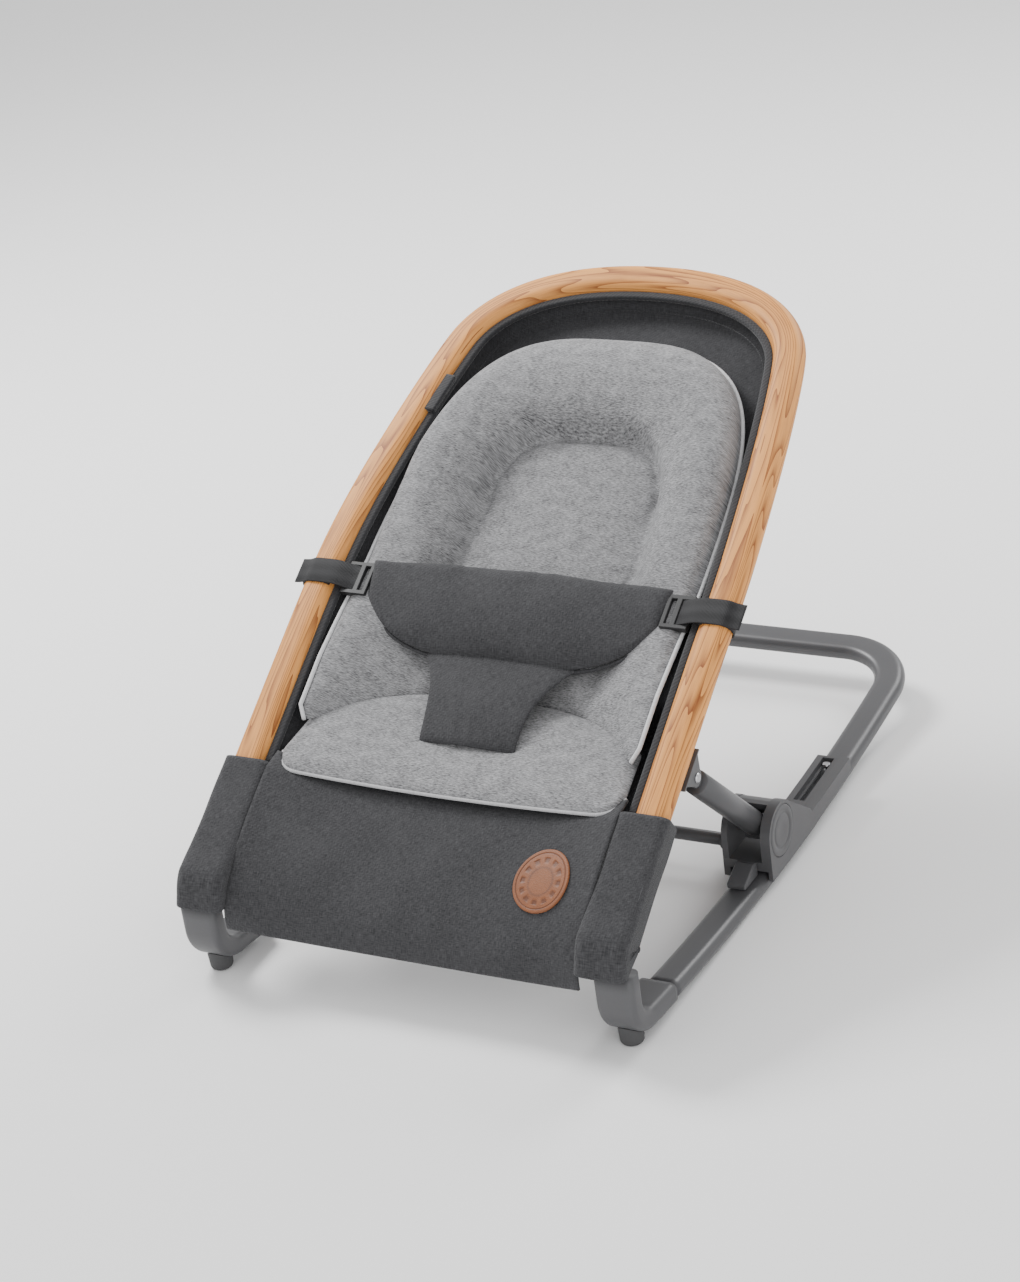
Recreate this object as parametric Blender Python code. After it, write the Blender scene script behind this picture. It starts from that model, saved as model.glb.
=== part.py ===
"""Bouncer seat: rocking base, reclining bow seat, folding struts and sewn seat.

Lengths are in metres and angles in degrees. +Z is up and the part stands on
Z = 0. The foot end faces -Y and the head end +Y. Heights and reaches below are
counted from the line where the front feet stand (y = 0) and the whole part is
centred on Y at the end. Seat pieces are laid out in the leg's own frame:
s runs along the leg from the front hinge, n stands square to it, upwards.
"""
from math import cos, hypot, pi, radians, sin, sqrt

import bmesh
import bpy
from mathutils import Matrix, Vector

# ---- fits ----
GAP = 0.0003            # between pieces that touch
RUNNING = 0.0004        # radial room of a pin in its bore
CLOTH_GAP = 0.0015      # between a soft piece and its neighbour

# ---- rocking base ----
RAIL_X = 0.2045         # centreline of each rail from the middle
RAIL_W = 0.030
RAIL_T = 0.016
RAIL_WALL = 0.0013
ROCKER_R = 2.374
ROCKER_LOW = 0.2548     # where the rails touch the floor
REAR_Y = 0.6392         # centreline of the rear cross piece
REAR_BEND_R = 0.0625
RAIL_START = 0.062      # joint between rail and front moulding
SPIGOT_IN = 0.014       # how far the moulding's spigot enters the rail
SPIGOT_PLAY = 0.0006
FRONT_STEP = 0.0030     # front mouldings and hinges inside the rails' centrelines
FRONT_X = RAIL_X - FRONT_STEP
BEND_W = 0.036
BEND_T = 0.0190
BEND_R = 0.0270         # centreline radius of the front moulding
BEND_Y = 0.0230         # centre of the front moulding's curve
BEND_SOFT = 0.0042
FOOT_Y = 0.0090
FOOT_R = 0.0115
FOOT_LOW_R = 0.0102
FOOT_ROUND = 0.0020

# ---- front hinge ----
HINGE_Y = -0.002
HINGE_Z = 0.092
HINGE_PIN_R = 0.0040
TONGUE_W = 0.0140
TONGUE_R = 0.0125
TONGUE_PLAY = 0.0006
NECK_DROP = 0.0175      # top of the moulding's wide part below the hinge

# ---- seat bow ----
LEG_STEP = 0.0047       # legs inside the hinges' middle
LEG_X = FRONT_X - LEG_STEP
BOW_W = 0.030
BOW_T = 0.0205
TILT_LOW = 33.4         # slope of the legs at the foot end
TILT_HIGH = 26.6        # slope at the head end
TILT_FROM = 0.250       # stations along the leg between which the slope eases
TILT_TO = 0.450
BOW_START = 0.045
BOW_APEX = 0.6825
CROWN_DEPTH = 0.0790    # shoulders below the apex
TAPER_LEN = 0.2815      # the legs draw in over this length below the shoulders
BOW_SHOULDER = BOW_APEX - CROWN_DEPTH
BOW_PARALLEL = BOW_SHOULDER - TAPER_LEN
LEG_FACET = 0.0462      # spacing of the sections along a leg
SHOULDER_IN = 0.0316    # how far the shoulders lie inside the leg line
SHOULDER_LEAN = 0.3626  # inward lean of the curve at the shoulders
TAPER_HANDLE = 0.0846   # lengths of the curve's handles
SHOULDER_LOW_HANDLE = 0.0286
SHOULDER_HIGH_HANDLE = 0.0343
CROWN_FLAT = 0.679
SOCKET_END = 0.075
SOCKET_WALL = 0.0013
SOCKET_HALF_W = BOW_W / 2 + SOCKET_WALL + GAP
SOCKET_HALF_T = BOW_T / 2 + SOCKET_WALL + GAP
SOCKET_NECK = 0.030
FORK_R = 0.0118
FORK_DEPTH = 0.028
PIN_HEAD_T = 0.0010
PIN_HEAD_LIP = 0.0020
LUG_HALF = 0.0130
LUG_T = 0.0115
LUG_SEAT = 0.0035       # wall left beyond the cross tube's end
CROSS_TUBE_R = 0.008
CROSS_TUBE_WALL = 0.0010
CROSS_TUBE_S = 0.045
CROSS_TUBE_N = -0.030

# ---- struts ----
STRUT_STEP = 0.0015     # struts inside the rails' centrelines
STRUT_X = RAIL_X - STRUT_STEP
STRUT_TOP_Y = 0.157     # rivet under the leg
STRUT_TOP_Z = 0.167
HUB_Y = 0.280           # pin in the hub
HUB_Z = 0.048
STRUT_R = 0.011
STRUT_WALL = 0.0013
STRUT_TOP_CUT = 0.017   # from the top rivet to the tube's end
STRUT_LOW_CUT = 0.012
PLUG_PLAY = 0.0003
PLUG_LEN = 0.034
EYE_W = 0.012
EYE_R = 0.0080
KNUCKLE_W = 0.0210
KNUCKLE_R = 0.0108
RIVET_R = 0.0030
RIVET_HEAD_R = 0.0046
RIVET_HEAD_T = 0.0014
EAR_T = 0.0020
EAR_R = 0.0085
EAR_PLAY = 0.0004
EAR_FLARE = 0.016
PLATE_HALF = 0.020

# ---- carriage ----
HUB_PIN_R = 0.0042
HUB_R = 0.0275
HUB_IN = 0.0273         # inner face of the hub from the rail's centreline
HUB_LOW = 0.0049        # lower edge of the cheeks below the rail's top
CHEEK_OUT_T = 0.0092
STRUT_ROOM = 0.0008      # between a strut and the hub's outer cheek
HUB_OUT = STRUT_R - STRUT_STEP + STRUT_ROOM + CHEEK_OUT_T   # outer face from the rail's centreline
CHEEK_IN_T = 0.0060
RAIL_PLAY = 0.0006      # beside the rail
LIFT = 0.0042           # room between hub floor and rail
HUB_FRONT = 0.0275      # front edge of the hub from its pin
INNER_REACH = 0.045
FLOOR_REACH = 0.065
FLOOR_T = 0.0085
HOOD_ROOM = 0.0095
HOOD_R = STRUT_R + HOOD_ROOM
TAIL_REACH = 0.157
TAIL_W = 0.024
TAIL_T = 0.0082
TAIL_LIP = 0.0030
TAIL_SHOULDER = 0.0045
SLOT_FRONT = 0.0830
SLOT_REAR = 0.1505
SLOT_W = 0.0062
RECESS_W = 0.0112
RECESS_LAND = 0.0020
STOP_LEN = 0.028
STOP_IN = 0.0120        # the stop's sides from the rail's centreline
STOP_OUT = 0.0060
STOP_TALL = 0.0145
STOP_LOW = 0.0050
GUIDE_R = 0.0024
GUIDE_HEAD_R = 0.0044
GUIDE_HEAD_Z = 0.0045   # underside of the guide's head above the tail's floor
GUIDE_HEAD_T = 0.0013
CROSS_BAR_R = 0.00615
CROSS_BAR_Z = 0.030
COLLAR_R = 0.0102
COLLAR_STEP_R = 0.0086
COLLAR_STEP = 0.0060
COLLAR_LEN = 0.0110
BUTTON_R = 0.0237
BUTTON_T = 0.0032
BUTTON_PROUD = 0.0005
BUTTON_TRAVEL = 0.0025
BUTTON_PLAY = 0.0004
BUTTON_DISH_R = 0.0150
BUTTON_EDGE = 0.0006
POCKET_PLAY = 0.0002
SPRING_R = 0.0095
SPRING_WIRE_R = 0.0005
SPRING_TURNS = 1.75

# ---- sewn seat ----
SEAT_SIDE_ROOM = 0.0308 # pads' sides inside the legs' centrelines
SEAT_HALF_W = LEG_X - SEAT_SIDE_ROOM
SEAT_FRONT_S = 0.114
SEAT_BACK_S = 0.220
SEAT_FRONT_N = 0.006
SEAT_DIP = 0.0316
SEAT_PAD_T = 0.016
BACK_DIP = 0.030
BACK_TOP_ROOM = 0.0765  # back pad's top below the bow's apex
BACK_TOP_S = BOW_APEX - BACK_TOP_ROOM
BACK_PAD_T = 0.014
SHELL_T = 0.003
SHELL_DROP = 0.0052     # room between the pads and the shell
SHELL_INSET = 0.0050    # side edges of the shell inside the bow
SHELL_EDGE = 0.0032     # and below its centreline
SKIRT_SIDE_ROOM = 0.0268
SKIRT_HALF_W = LEG_X - SKIRT_SIDE_ROOM
SKIRT_HEM_S = -0.026
SKIRT_HEM_N = -0.029
SLEEVE_T = 0.0020
SLEEVE_TOP_S = 0.118
SLEEVE_DROP = 0.0115    # lower edge of the sleeves below the hinge
SLEEVE_ROOM = 0.0030    # between fork and sleeve
SLEEVE_GAP = 0.0012
SLEEVE_HEEL_S = 0.034
HEAD_HALF_W = 0.088
HEAD_TOP_ROOM = 0.1140  # head cushion's top below the back pad's
HEAD_LEN = 0.130
HEAD_TOP_S = BACK_TOP_S - HEAD_TOP_ROOM
HEAD_LOW_S = HEAD_TOP_S - HEAD_LEN
HEAD_T = 0.018
HEAD_LIFT = 0.003       # room between head cushion and back pad
BELLY_SIDE_ROOM = 0.0588
BELLY_HALF_W = LEG_X - BELLY_SIDE_ROOM
BELLY_LOW_S = 0.254
BELLY_TOP_S = 0.333
BELLY_T = 0.013
BELLY_LOW_N = 0.003
BELLY_RISE = 0.016
STRAP_S = 0.312
STRAP_W = 0.026
STRAP_T = 0.0016
STRAP_CLEAR = 0.0004
BUCKLE_ROOM = 0.0248    # buckles' outer edge inside the legs' centrelines
BUCKLE_LEN = 0.0260
BUCKLE_OUT = LEG_X - BUCKLE_ROOM
BUCKLE_IN = BUCKLE_OUT - BUCKLE_LEN
BUCKLE_HALF = 0.0165
BADGE_R = 0.0265
BADGE_X = 0.113
BADGE_S = 0.057
CROTCH_HALF_W = 0.050
CROTCH_LOW_S = 0.168
CROTCH_T = 0.003
SIDES = {"left": -1, "right": 1}

for old in list(bpy.data.objects):
    bpy.data.objects.remove(old, do_unlink=True)


# ---- materials ----
def material(name, colour, roughness, metallic=0.0):
    mat = bpy.data.materials.new(name)
    mat.use_nodes = True
    shader = mat.node_tree.nodes["Principled BSDF"]
    shader.inputs["Base Color"].default_value = (*colour, 1.0)
    shader.inputs["Roughness"].default_value = roughness
    shader.inputs["Metallic"].default_value = metallic
    mat.diffuse_color = (*colour, 1.0)
    return mat


COATED_STEEL = ("coated_steel", (0.105, 0.105, 0.110), 0.42, 0.3)
DARK_PLASTIC = ("dark_plastic", (0.085, 0.085, 0.090), 0.50, 0.0)
BRIGHT_STEEL = ("bright_steel", (0.60, 0.60, 0.62), 0.30, 1.0)
RUBBER = ("black_rubber", (0.030, 0.030, 0.032), 0.80, 0.0)
WOOD = ("beech", (0.69, 0.39, 0.17), 0.48, 0.0)
GREY_JERSEY = ("grey_jersey", (0.29, 0.29, 0.30), 0.95, 0.0)
CHARCOAL = ("charcoal_cloth", (0.070, 0.071, 0.075), 0.92, 0.0)
SHELL_CLOTH = ("shell_cloth", (0.055, 0.056, 0.060), 0.92, 0.0)
WEBBING = ("webbing", (0.060, 0.060, 0.064), 0.75, 0.0)
LEATHER = ("tan_leather", (0.235, 0.122, 0.073), 0.60, 0.0)


# ---- mesh helpers ----
def place(name, bm, look, frame):
    """Turn a bmesh in part coordinates into an object on its body's empty."""
    bmesh.ops.recalc_face_normals(bm, faces=bm.faces)
    mesh = bpy.data.meshes.new(name)
    bm.to_mesh(mesh)
    bm.free()
    mesh.transform(Matrix.Translation(-frame.location))
    mesh.shade_smooth()
    mesh.set_sharp_from_angle(angle=radians(35))
    mesh.materials.append(material(f"{name}_{look[0]}", *look[1:]))
    obj = bpy.data.objects.new(name, mesh)
    bpy.context.scene.collection.objects.link(obj)
    obj.parent = frame
    return obj


def combine(obj, bm, operation, label):
    """Add or cut a shape with an exact Boolean; the tool shape stays hidden."""
    bmesh.ops.recalc_face_normals(bm, faces=bm.faces)
    mesh = bpy.data.meshes.new(f"{obj.name}_{label}_tool")
    bm.to_mesh(mesh)
    bm.free()
    mesh.transform(Matrix.Translation(-obj.parent.location))
    tool = bpy.data.objects.new(mesh.name, mesh)
    bpy.context.scene.collection.objects.link(tool)
    tool.parent = obj.parent
    tool.hide_render = True
    tool.display_type = "WIRE"
    modifier = obj.modifiers.new(label, "BOOLEAN")
    modifier.operation = operation
    modifier.object = tool


def soften(obj, width, segments=2):
    bevel = obj.modifiers.new("soften", "BEVEL")
    bevel.width = width
    bevel.segments = segments
    bevel.limit_method = "ANGLE"
    bevel.angle_limit = radians(50)


def skin(rings, hollow=False):
    """Join equal rings of points into a closed solid, or into a ring-shaped one."""
    bm = bmesh.new()
    rows = [[bm.verts.new(point) for point in ring] for ring in rings]
    following = rows[1:] + ([rows[0]] if hollow else [])
    for row, after in zip(rows, following):
        for i in range(len(row)):
            j = (i + 1) % len(row)
            bm.faces.new((row[i], row[j], after[j], after[i]))
    if not hollow:
        bm.faces.new(rows[0])
        bm.faces.new(rows[-1])
    return bm


def prism_x(outline, x0, x1):
    """Extrude a (y, z) outline along X."""
    return skin([[(x, y, z) for y, z in outline] for x in (x0, x1)])


def box(low, high):
    outline = ((low[1], low[2]), (high[1], low[2]), (high[1], high[2]), (low[1], high[2]))
    return prism_x(outline, low[0], high[0])


def circle(y, z, radius, sides=16):
    turn = 2 * pi / sides
    return [(y + radius * cos(i * turn), z + radius * sin(i * turn)) for i in range(sides)]


def turned_x(profile, y, z, sides=16):
    """Solid of revolution about an X axis; profile is (x, radius) pairs."""
    return skin([[(x, *point) for point in circle(y, z, r, sides)] for x, r in profile])


def ring_x(x0, x1, y, z, inner, outer, sides=16):
    profile = ((x0, outer), (x1, outer), (x1, inner), (x0, inner))
    rings = [[(x, *point) for point in circle(y, z, r, sides)] for x, r in profile]
    return skin(rings, hollow=True)


def rod(start, end, radius, bore=0.0, sides=14):
    """Round bar or tube between two points."""
    axis = (Vector(end) - Vector(start)).normalized()
    side = axis.cross(Vector((1, 0, 0))).normalized()
    up = axis.cross(side)
    turn = 2 * pi / sides

    def hoop(centre, r):
        return [Vector(centre) + side * r * cos(i * turn) + up * r * sin(i * turn)
                for i in range(sides)]

    if bore:
        return skin([hoop(start, radius), hoop(end, radius), hoop(end, bore), hoop(start, bore)],
                    hollow=True)
    return skin([hoop(start, radius), hoop(end, radius)])


def flat_oval(width, thick, steps=5):
    """Outline of a flat-sided oval tube, as (across, through) pairs."""
    half = (width - thick) / 2
    angles = [-pi / 2 + pi * i / steps for i in range(steps + 1)]
    right = [(half + thick / 2 * cos(a), thick / 2 * sin(a)) for a in angles]
    return right + [(-w, -t) for w, t in right]


def sheet(grid, thick):
    """Closed slab on a grid of points, thickened square to its rows and columns."""
    rows, cols = len(grid), len(grid[0])
    bm = bmesh.new()

    def normal(i, j):
        along = grid[min(i + 1, rows - 1)][j] - grid[max(i - 1, 0)][j]
        across = grid[i][min(j + 1, cols - 1)] - grid[i][max(j - 1, 0)]
        return across.cross(along).normalized()

    top = [[bm.verts.new(grid[i][j]) for j in range(cols)] for i in range(rows)]
    low = [[bm.verts.new(grid[i][j] - normal(i, j) * thick) for j in range(cols)]
           for i in range(rows)]
    for i in range(rows - 1):
        for j in range(cols - 1):
            bm.faces.new((top[i][j], top[i][j + 1], top[i + 1][j + 1], top[i + 1][j]))
            bm.faces.new((low[i][j], low[i + 1][j], low[i + 1][j + 1], low[i][j + 1]))
    rim = [(0, j) for j in range(cols)] + [(i, cols - 1) for i in range(1, rows)]
    rim += [(rows - 1, j) for j in range(cols - 2, -1, -1)] + [(i, 0) for i in range(rows - 2, 0, -1)]
    for (i, j), (k, m) in zip(rim, rim[1:] + rim[:1]):
        bm.faces.new((top[i][j], low[i][j], low[k][m], top[k][m]))
    return bm


def bezier(p0, p1, p2, p3, steps):
    """Points of a cubic curve, without its first point."""
    points = []
    for i in range(1, steps + 1):
        t = i / steps
        u = 1 - t
        weights = (u ** 3, 3 * u * u * t, 3 * u * t * t, t ** 3)
        points.append(tuple(sum(w * p[k] for w, p in zip(weights, (p0, p1, p2, p3)))
                            for k in range(2)))
    return points


def spread(low, high, count):
    return [low + (high - low) * i / (count - 1) for i in range(count)]


# ---- rail and leg geometry ----
def rail_height(y):
    """Height of the rail's centreline: one long rocker arc."""
    return RAIL_T / 2 + (y - ROCKER_LOW) ** 2 / (2 * ROCKER_R)


def rail_slope(y):
    return (y - ROCKER_LOW) / ROCKER_R


def rail_top(y):
    return rail_height(y) + RAIL_T / 2


def along_rail(y_from, y_to, lift, count=6):
    """(y, z) line that follows the rail's top at a constant lift."""
    return [(y, rail_top(y) + lift) for y in spread(y_from, y_to, count)]


def tilt(s):
    """Slope of the leg at station s, in radians."""
    ease = min(max((s - TILT_FROM) / (TILT_TO - TILT_FROM), 0.0), 1.0)
    return radians(TILT_LOW + (TILT_HIGH - TILT_LOW) * ease)


def leg_point(s, n=0.0):
    """(y, z) of station s along the leg, n above its centreline."""
    steps = 40
    y, z = HINGE_Y, HINGE_Z
    for i in range(steps):
        angle = tilt(s * (i + 0.5) / steps)
        y += s / steps * cos(angle)
        z += s / steps * sin(angle)
    return y - n * sin(tilt(s)), z + n * cos(tilt(s))


def seat_point(x, s, n=0.0):
    return Vector((x, *leg_point(s, n)))


def leg_outline(points):
    """(y, z) outline from (s, n) pairs."""
    return [leg_point(s, n) for s, n in points]


# ---- bodies' frames ----
def axis_frame(name, y, z):
    empty = bpy.data.objects.new(name, None)
    empty.empty_display_size = 0.03
    empty.location = (0.0, y, z)
    bpy.context.scene.collection.objects.link(empty)
    return empty


BASE = axis_frame("base_frame", 0.0, 0.0)
SEAT = axis_frame("front_pivot_axis", HINGE_Y, HINGE_Z)
STRUTS = axis_frame("strut_pivot_axis", STRUT_TOP_Y, STRUT_TOP_Z)
CARRIAGE = axis_frame("carriage_pivot_axis", HUB_Y, HUB_Z)


# ---- rocking base ----
def rail_ring(x, y, heading, section):
    """Section ring of the base tube at (x, y) in plan; heading is from +X, in radians."""
    slope = rail_slope(y)
    normal = Vector((0.0, -slope, 1.0)).normalized()
    tangent = Vector((cos(heading), sin(heading), slope * sin(heading))).normalized()
    across = tangent.cross(normal)
    centre = Vector((x, y, rail_height(y)))
    return [centre + across * w + normal * t for w, t in section]


def base_tube_route():
    """Plan stations from the right rail's front end round the rear to the left one."""
    bend_y = REAR_Y - REAR_BEND_R
    bend_x = RAIL_X - REAR_BEND_R
    right = [(RAIL_X, y, pi / 2) for y in spread(RAIL_START, bend_y, 12)[:-1]]
    for angle in spread(0.0, pi / 2, 7):
        right.append((bend_x + REAR_BEND_R * cos(angle), bend_y + REAR_BEND_R * sin(angle),
                      pi / 2 + angle))
    left = [(-x, y, 2 * pi - heading) for x, y, heading in reversed(right)]
    return right + left


def build_base_tube():
    route = base_tube_route()
    outer = flat_oval(RAIL_W, RAIL_T)
    inner = flat_oval(RAIL_W - 2 * RAIL_WALL, RAIL_T - 2 * RAIL_WALL)
    rings = [rail_ring(*station, outer) for station in route]
    rings += [rail_ring(*station, inner) for station in reversed(route)]
    return place("base_tube", skin(rings, hollow=True), COATED_STEEL, BASE)


def front_bend_centreline():
    """(y, z) centreline of the front moulding, from the rail joint up to its shoulder."""
    start = RAIL_START - GAP
    middle = (start + BEND_Y) / 2
    centre_z = rail_height(BEND_Y) + BEND_R
    line = [(start, rail_height(start)), (middle, rail_height(middle))]
    for angle in spread(-pi / 2, -pi, 10):
        line.append((BEND_Y + BEND_R * cos(angle), centre_z + BEND_R * sin(angle)))
    line.append((BEND_Y - BEND_R, HINGE_Z - NECK_DROP))
    return line


def band(line, half):
    """Closed outline of a strip of even thickness about a (y, z) line."""
    sides = ([], [])
    for i, (y, z) in enumerate(line):
        before, after = line[max(i - 1, 0)], line[min(i + 1, len(line) - 1)]
        length = hypot(after[0] - before[0], after[1] - before[1])
        ny, nz = -(after[1] - before[1]) / length, (after[0] - before[0]) / length
        sides[0].append((y + ny * half, z + nz * half))
        sides[1].append((y - ny * half, z - nz * half))
    return sides[0] + sides[1][::-1]


def build_front_bend(side, sign):
    x = sign * FRONT_X
    bend = place(f"front_bend_{side}",
                 prism_x(band(front_bend_centreline(), BEND_T / 2), x - BEND_W / 2, x + BEND_W / 2),
                 DARK_PLASTIC, BASE)
    soften(bend, BEND_SOFT)
    spigot_y = spread(RAIL_START - SPIGOT_IN / 2, RAIL_START + SPIGOT_IN, 3)
    spigot = band([(y, rail_height(y)) for y in spigot_y], RAIL_T / 2 - RAIL_WALL - SPIGOT_PLAY)
    half_w = (RAIL_W - RAIL_T) / 2
    rail_x = sign * RAIL_X
    combine(bend, prism_x(spigot, rail_x - half_w, rail_x + half_w), "UNION", "spigot")
    neck_y = BEND_Y - BEND_R
    root_z = HINGE_Z - NECK_DROP - BEND_SOFT
    tongue = [(neck_y - BEND_T / 2 + 0.001, root_z), (neck_y + BEND_T / 2 - 0.001, root_z)]
    arc = [(HINGE_Y + TONGUE_R * cos(a), HINGE_Z + TONGUE_R * sin(a))
           for a in spread(-0.25, pi + 0.25, 10)]
    combine(bend, prism_x(tongue + arc, x - TONGUE_W / 2, x + TONGUE_W / 2), "UNION", "tongue")
    bore = HINGE_PIN_R + RUNNING
    combine(bend, turned_x([(x - BEND_W, bore), (x + BEND_W, bore)], HINGE_Y, HINGE_Z),
            "DIFFERENCE", "pin_bore")


def build_front_foot(side, sign):
    """Round rubber foot whose top is hollowed to the moulding's underside."""
    centre_z = rail_height(BEND_Y) + BEND_R
    profile = ((0.0, FOOT_LOW_R - FOOT_ROUND), (FOOT_ROUND, FOOT_LOW_R), (centre_z / 2, FOOT_R))
    turn = pi / 10
    rings = [[(sign * FRONT_X + r * cos(i * turn), FOOT_Y + r * sin(i * turn), z) for i in range(20)]
             for z, r in profile]
    foot = place(f"front_foot_{side}", skin(rings), RUBBER, BASE)
    reach = BEND_R + BEND_T / 2 + GAP
    hollow = turned_x([(sign * FRONT_X - BEND_W, reach), (sign * FRONT_X + BEND_W, reach)],
                      BEND_Y, centre_z, 72)
    combine(foot, hollow, "DIFFERENCE", "hollow")


def build_front_pin(side, sign):
    x = sign * LEG_X
    half = SOCKET_HALF_W + GAP
    head = HINGE_PIN_R + PIN_HEAD_LIP
    profile = [(x - half - PIN_HEAD_T, head), (x - half, head), (x - half, HINGE_PIN_R),
               (x + half, HINGE_PIN_R), (x + half, head), (x + half + PIN_HEAD_T, head)]
    place(f"front_pivot_pin_{side}", turned_x(profile, HINGE_Y, HINGE_Z), BRIGHT_STEEL, BASE)


def build_rail_stop(side, sign):
    rear = HUB_Y - HUB_FRONT - 0.0010
    front = rear - STOP_LEN
    foot_z = rail_top(front) + GAP
    outline = [(front, foot_z), (rear, foot_z), (rear, foot_z + STOP_TALL - 0.0010),
               (rear - 0.006, foot_z + STOP_TALL), (front, foot_z + STOP_LOW)]
    inner, outer = sign * (RAIL_X - STOP_IN), sign * (RAIL_X + STOP_OUT)
    stop = place(f"rail_stop_{side}", prism_x(outline, inner, outer), DARK_PLASTIC, BASE)
    soften(stop, 0.0010, 1)


def build_guide_rivet(side, sign):
    """Headed rivet on the rail that stands in the tail's slot."""
    x, y = sign * RAIL_X, HUB_Y + SLOT_REAR - SLOT_W / 2 - POCKET_PLAY
    foot_z = rail_top(y + GUIDE_R) + GAP
    head_z = rail_top(y) + LIFT + GUIDE_HEAD_Z
    profile = ((foot_z, GUIDE_R), (head_z, GUIDE_R), (head_z, GUIDE_HEAD_R),
               (head_z + GUIDE_HEAD_T, GUIDE_HEAD_R - 0.0008))
    rings = [[(x + r * cos(i * pi / 6), y + r * sin(i * pi / 6), z) for i in range(12)]
             for z, r in profile]
    place(f"guide_rivet_{side}", skin(rings), BRIGHT_STEEL, BASE)


# ---- seat bow and its fittings ----
def bow_route():
    """(x, s) stations of the bow, from the right leg's foot over the top to the left one."""
    shoulder_x = LEG_X - SHOULDER_IN
    shoulder = (shoulder_x, BOW_SHOULDER)
    below = (shoulder_x + SHOULDER_LEAN * SHOULDER_LOW_HANDLE, BOW_SHOULDER - SHOULDER_LOW_HANDLE)
    above = (shoulder_x - SHOULDER_LEAN * SHOULDER_HIGH_HANDLE, BOW_SHOULDER + SHOULDER_HIGH_HANDLE)
    leg_steps = round((BOW_PARALLEL - BOW_START) / LEG_FACET)
    legs = [(LEG_X, s) for s in spread(BOW_START, BOW_PARALLEL, leg_steps)]
    taper = bezier(legs[-1], (LEG_X, BOW_PARALLEL + TAPER_HANDLE), below, shoulder, 8)
    crown = bezier(shoulder, above, (CROWN_FLAT * shoulder_x, BOW_APEX), (0.0, BOW_APEX), 9)
    right = legs + taper + crown
    return right + [(-x, s) for x, s in reversed(right[:-1])]


def bow_ring(before, here, after, section, offset=0.0):
    angle = tilt(here[1])
    up = Vector((0.0, -sin(angle), cos(angle)))
    along = Vector((0.0, cos(angle), sin(angle)))
    tangent = (Vector((1, 0, 0)) * (after[0] - before[0]) + along * (after[1] - before[1])).normalized()
    across = tangent.cross(up)
    centre = seat_point(here[0], here[1], offset)
    return [centre + across * w + up * t for w, t in section]


def build_seat_bow():
    route = bow_route()
    section = flat_oval(BOW_W, BOW_T, 6)
    rings = []
    for i, here in enumerate(route):
        rings.append(bow_ring(route[max(i - 1, 0)], here, route[min(i + 1, len(route) - 1)], section))
    place("seat_bow", skin(rings), WOOD, SEAT)


def build_leg_socket(side, sign):
    """Cup on the leg's end with a fork for the front hinge and a lug for the cross tube."""
    x = sign * LEG_X
    half_w, half_t = SOCKET_HALF_W, SOCKET_HALF_T
    nose = [(FORK_R * cos(a), FORK_R * sin(a)) for a in spread(pi / 2, 3 * pi / 2, 9)]
    body = leg_outline(nose + [(SOCKET_NECK, -half_t), (SOCKET_END, -half_t), (SOCKET_END, half_t),
                               (SOCKET_NECK, half_t)])
    socket = place(f"leg_socket_{side}", prism_x(body, x - half_w, x + half_w), DARK_PLASTIC, SEAT)
    low = CROSS_TUBE_N - LUG_HALF
    root = 0.002 - half_t
    lug = leg_outline([(CROSS_TUBE_S - LUG_HALF, root), (CROSS_TUBE_S - LUG_HALF, low + 0.004),
                       (CROSS_TUBE_S, low), (CROSS_TUBE_S + LUG_HALF, low + 0.004),
                       (CROSS_TUBE_S + LUG_HALF, root)])
    lug_in = sign * (LEG_X - half_w + 0.0005)
    combine(socket, prism_x(lug, lug_in, lug_in + sign * LUG_T), "UNION", "lug")
    room_t = BOW_T / 2 + GAP
    beyond = SOCKET_END + 0.01
    pocket = leg_outline([(BOW_START - GAP, -room_t), (beyond, -room_t), (beyond, room_t),
                          (BOW_START - GAP, room_t)])
    room_w = BOW_W / 2 + GAP
    combine(socket, prism_x(pocket, x - room_w, x + room_w), "DIFFERENCE", "pocket")
    gap_half = TONGUE_W / 2 + TONGUE_PLAY
    slot = leg_outline([(-0.03, -0.03), (FORK_DEPTH, -0.03), (FORK_DEPTH, 0.03), (-0.03, 0.03)])
    fork_x = sign * FRONT_X
    combine(socket, prism_x(slot, fork_x - gap_half, fork_x + gap_half), "DIFFERENCE", "fork_gap")
    bore = HINGE_PIN_R + RUNNING
    combine(socket, turned_x([(x - 0.03, bore), (x + 0.03, bore)], HINGE_Y, HINGE_Z),
            "DIFFERENCE", "pin_bore")
    tube_bore = CROSS_TUBE_R + GAP
    deep = cross_tube_half() + GAP
    combine(socket, turned_x([(sign * (deep - 0.04), tube_bore), (sign * deep, tube_bore)],
                             *leg_point(CROSS_TUBE_S, CROSS_TUBE_N)), "DIFFERENCE", "tube_bore")


def cross_tube_half():
    """Half length of the front cross tube: it ends inside the sockets' lugs."""
    return LEG_X - SOCKET_HALF_W + LUG_T - LUG_SEAT


def build_front_cross_tube():
    y, z = leg_point(CROSS_TUBE_S, CROSS_TUBE_N)
    half = cross_tube_half()
    place("front_cross_tube",
          ring_x(-half, half, y, z, CROSS_TUBE_R - CROSS_TUBE_WALL, CROSS_TUBE_R), COATED_STEEL, SEAT)


def strut_top_station():
    """(s, n) of the strut's top rivet in the leg's frame."""
    angle = radians(TILT_LOW)
    dy, dz = STRUT_TOP_Y - HINGE_Y, STRUT_TOP_Z - HINGE_Z
    return dy * cos(angle) + dz * sin(angle), -dy * sin(angle) + dz * cos(angle)


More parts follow.
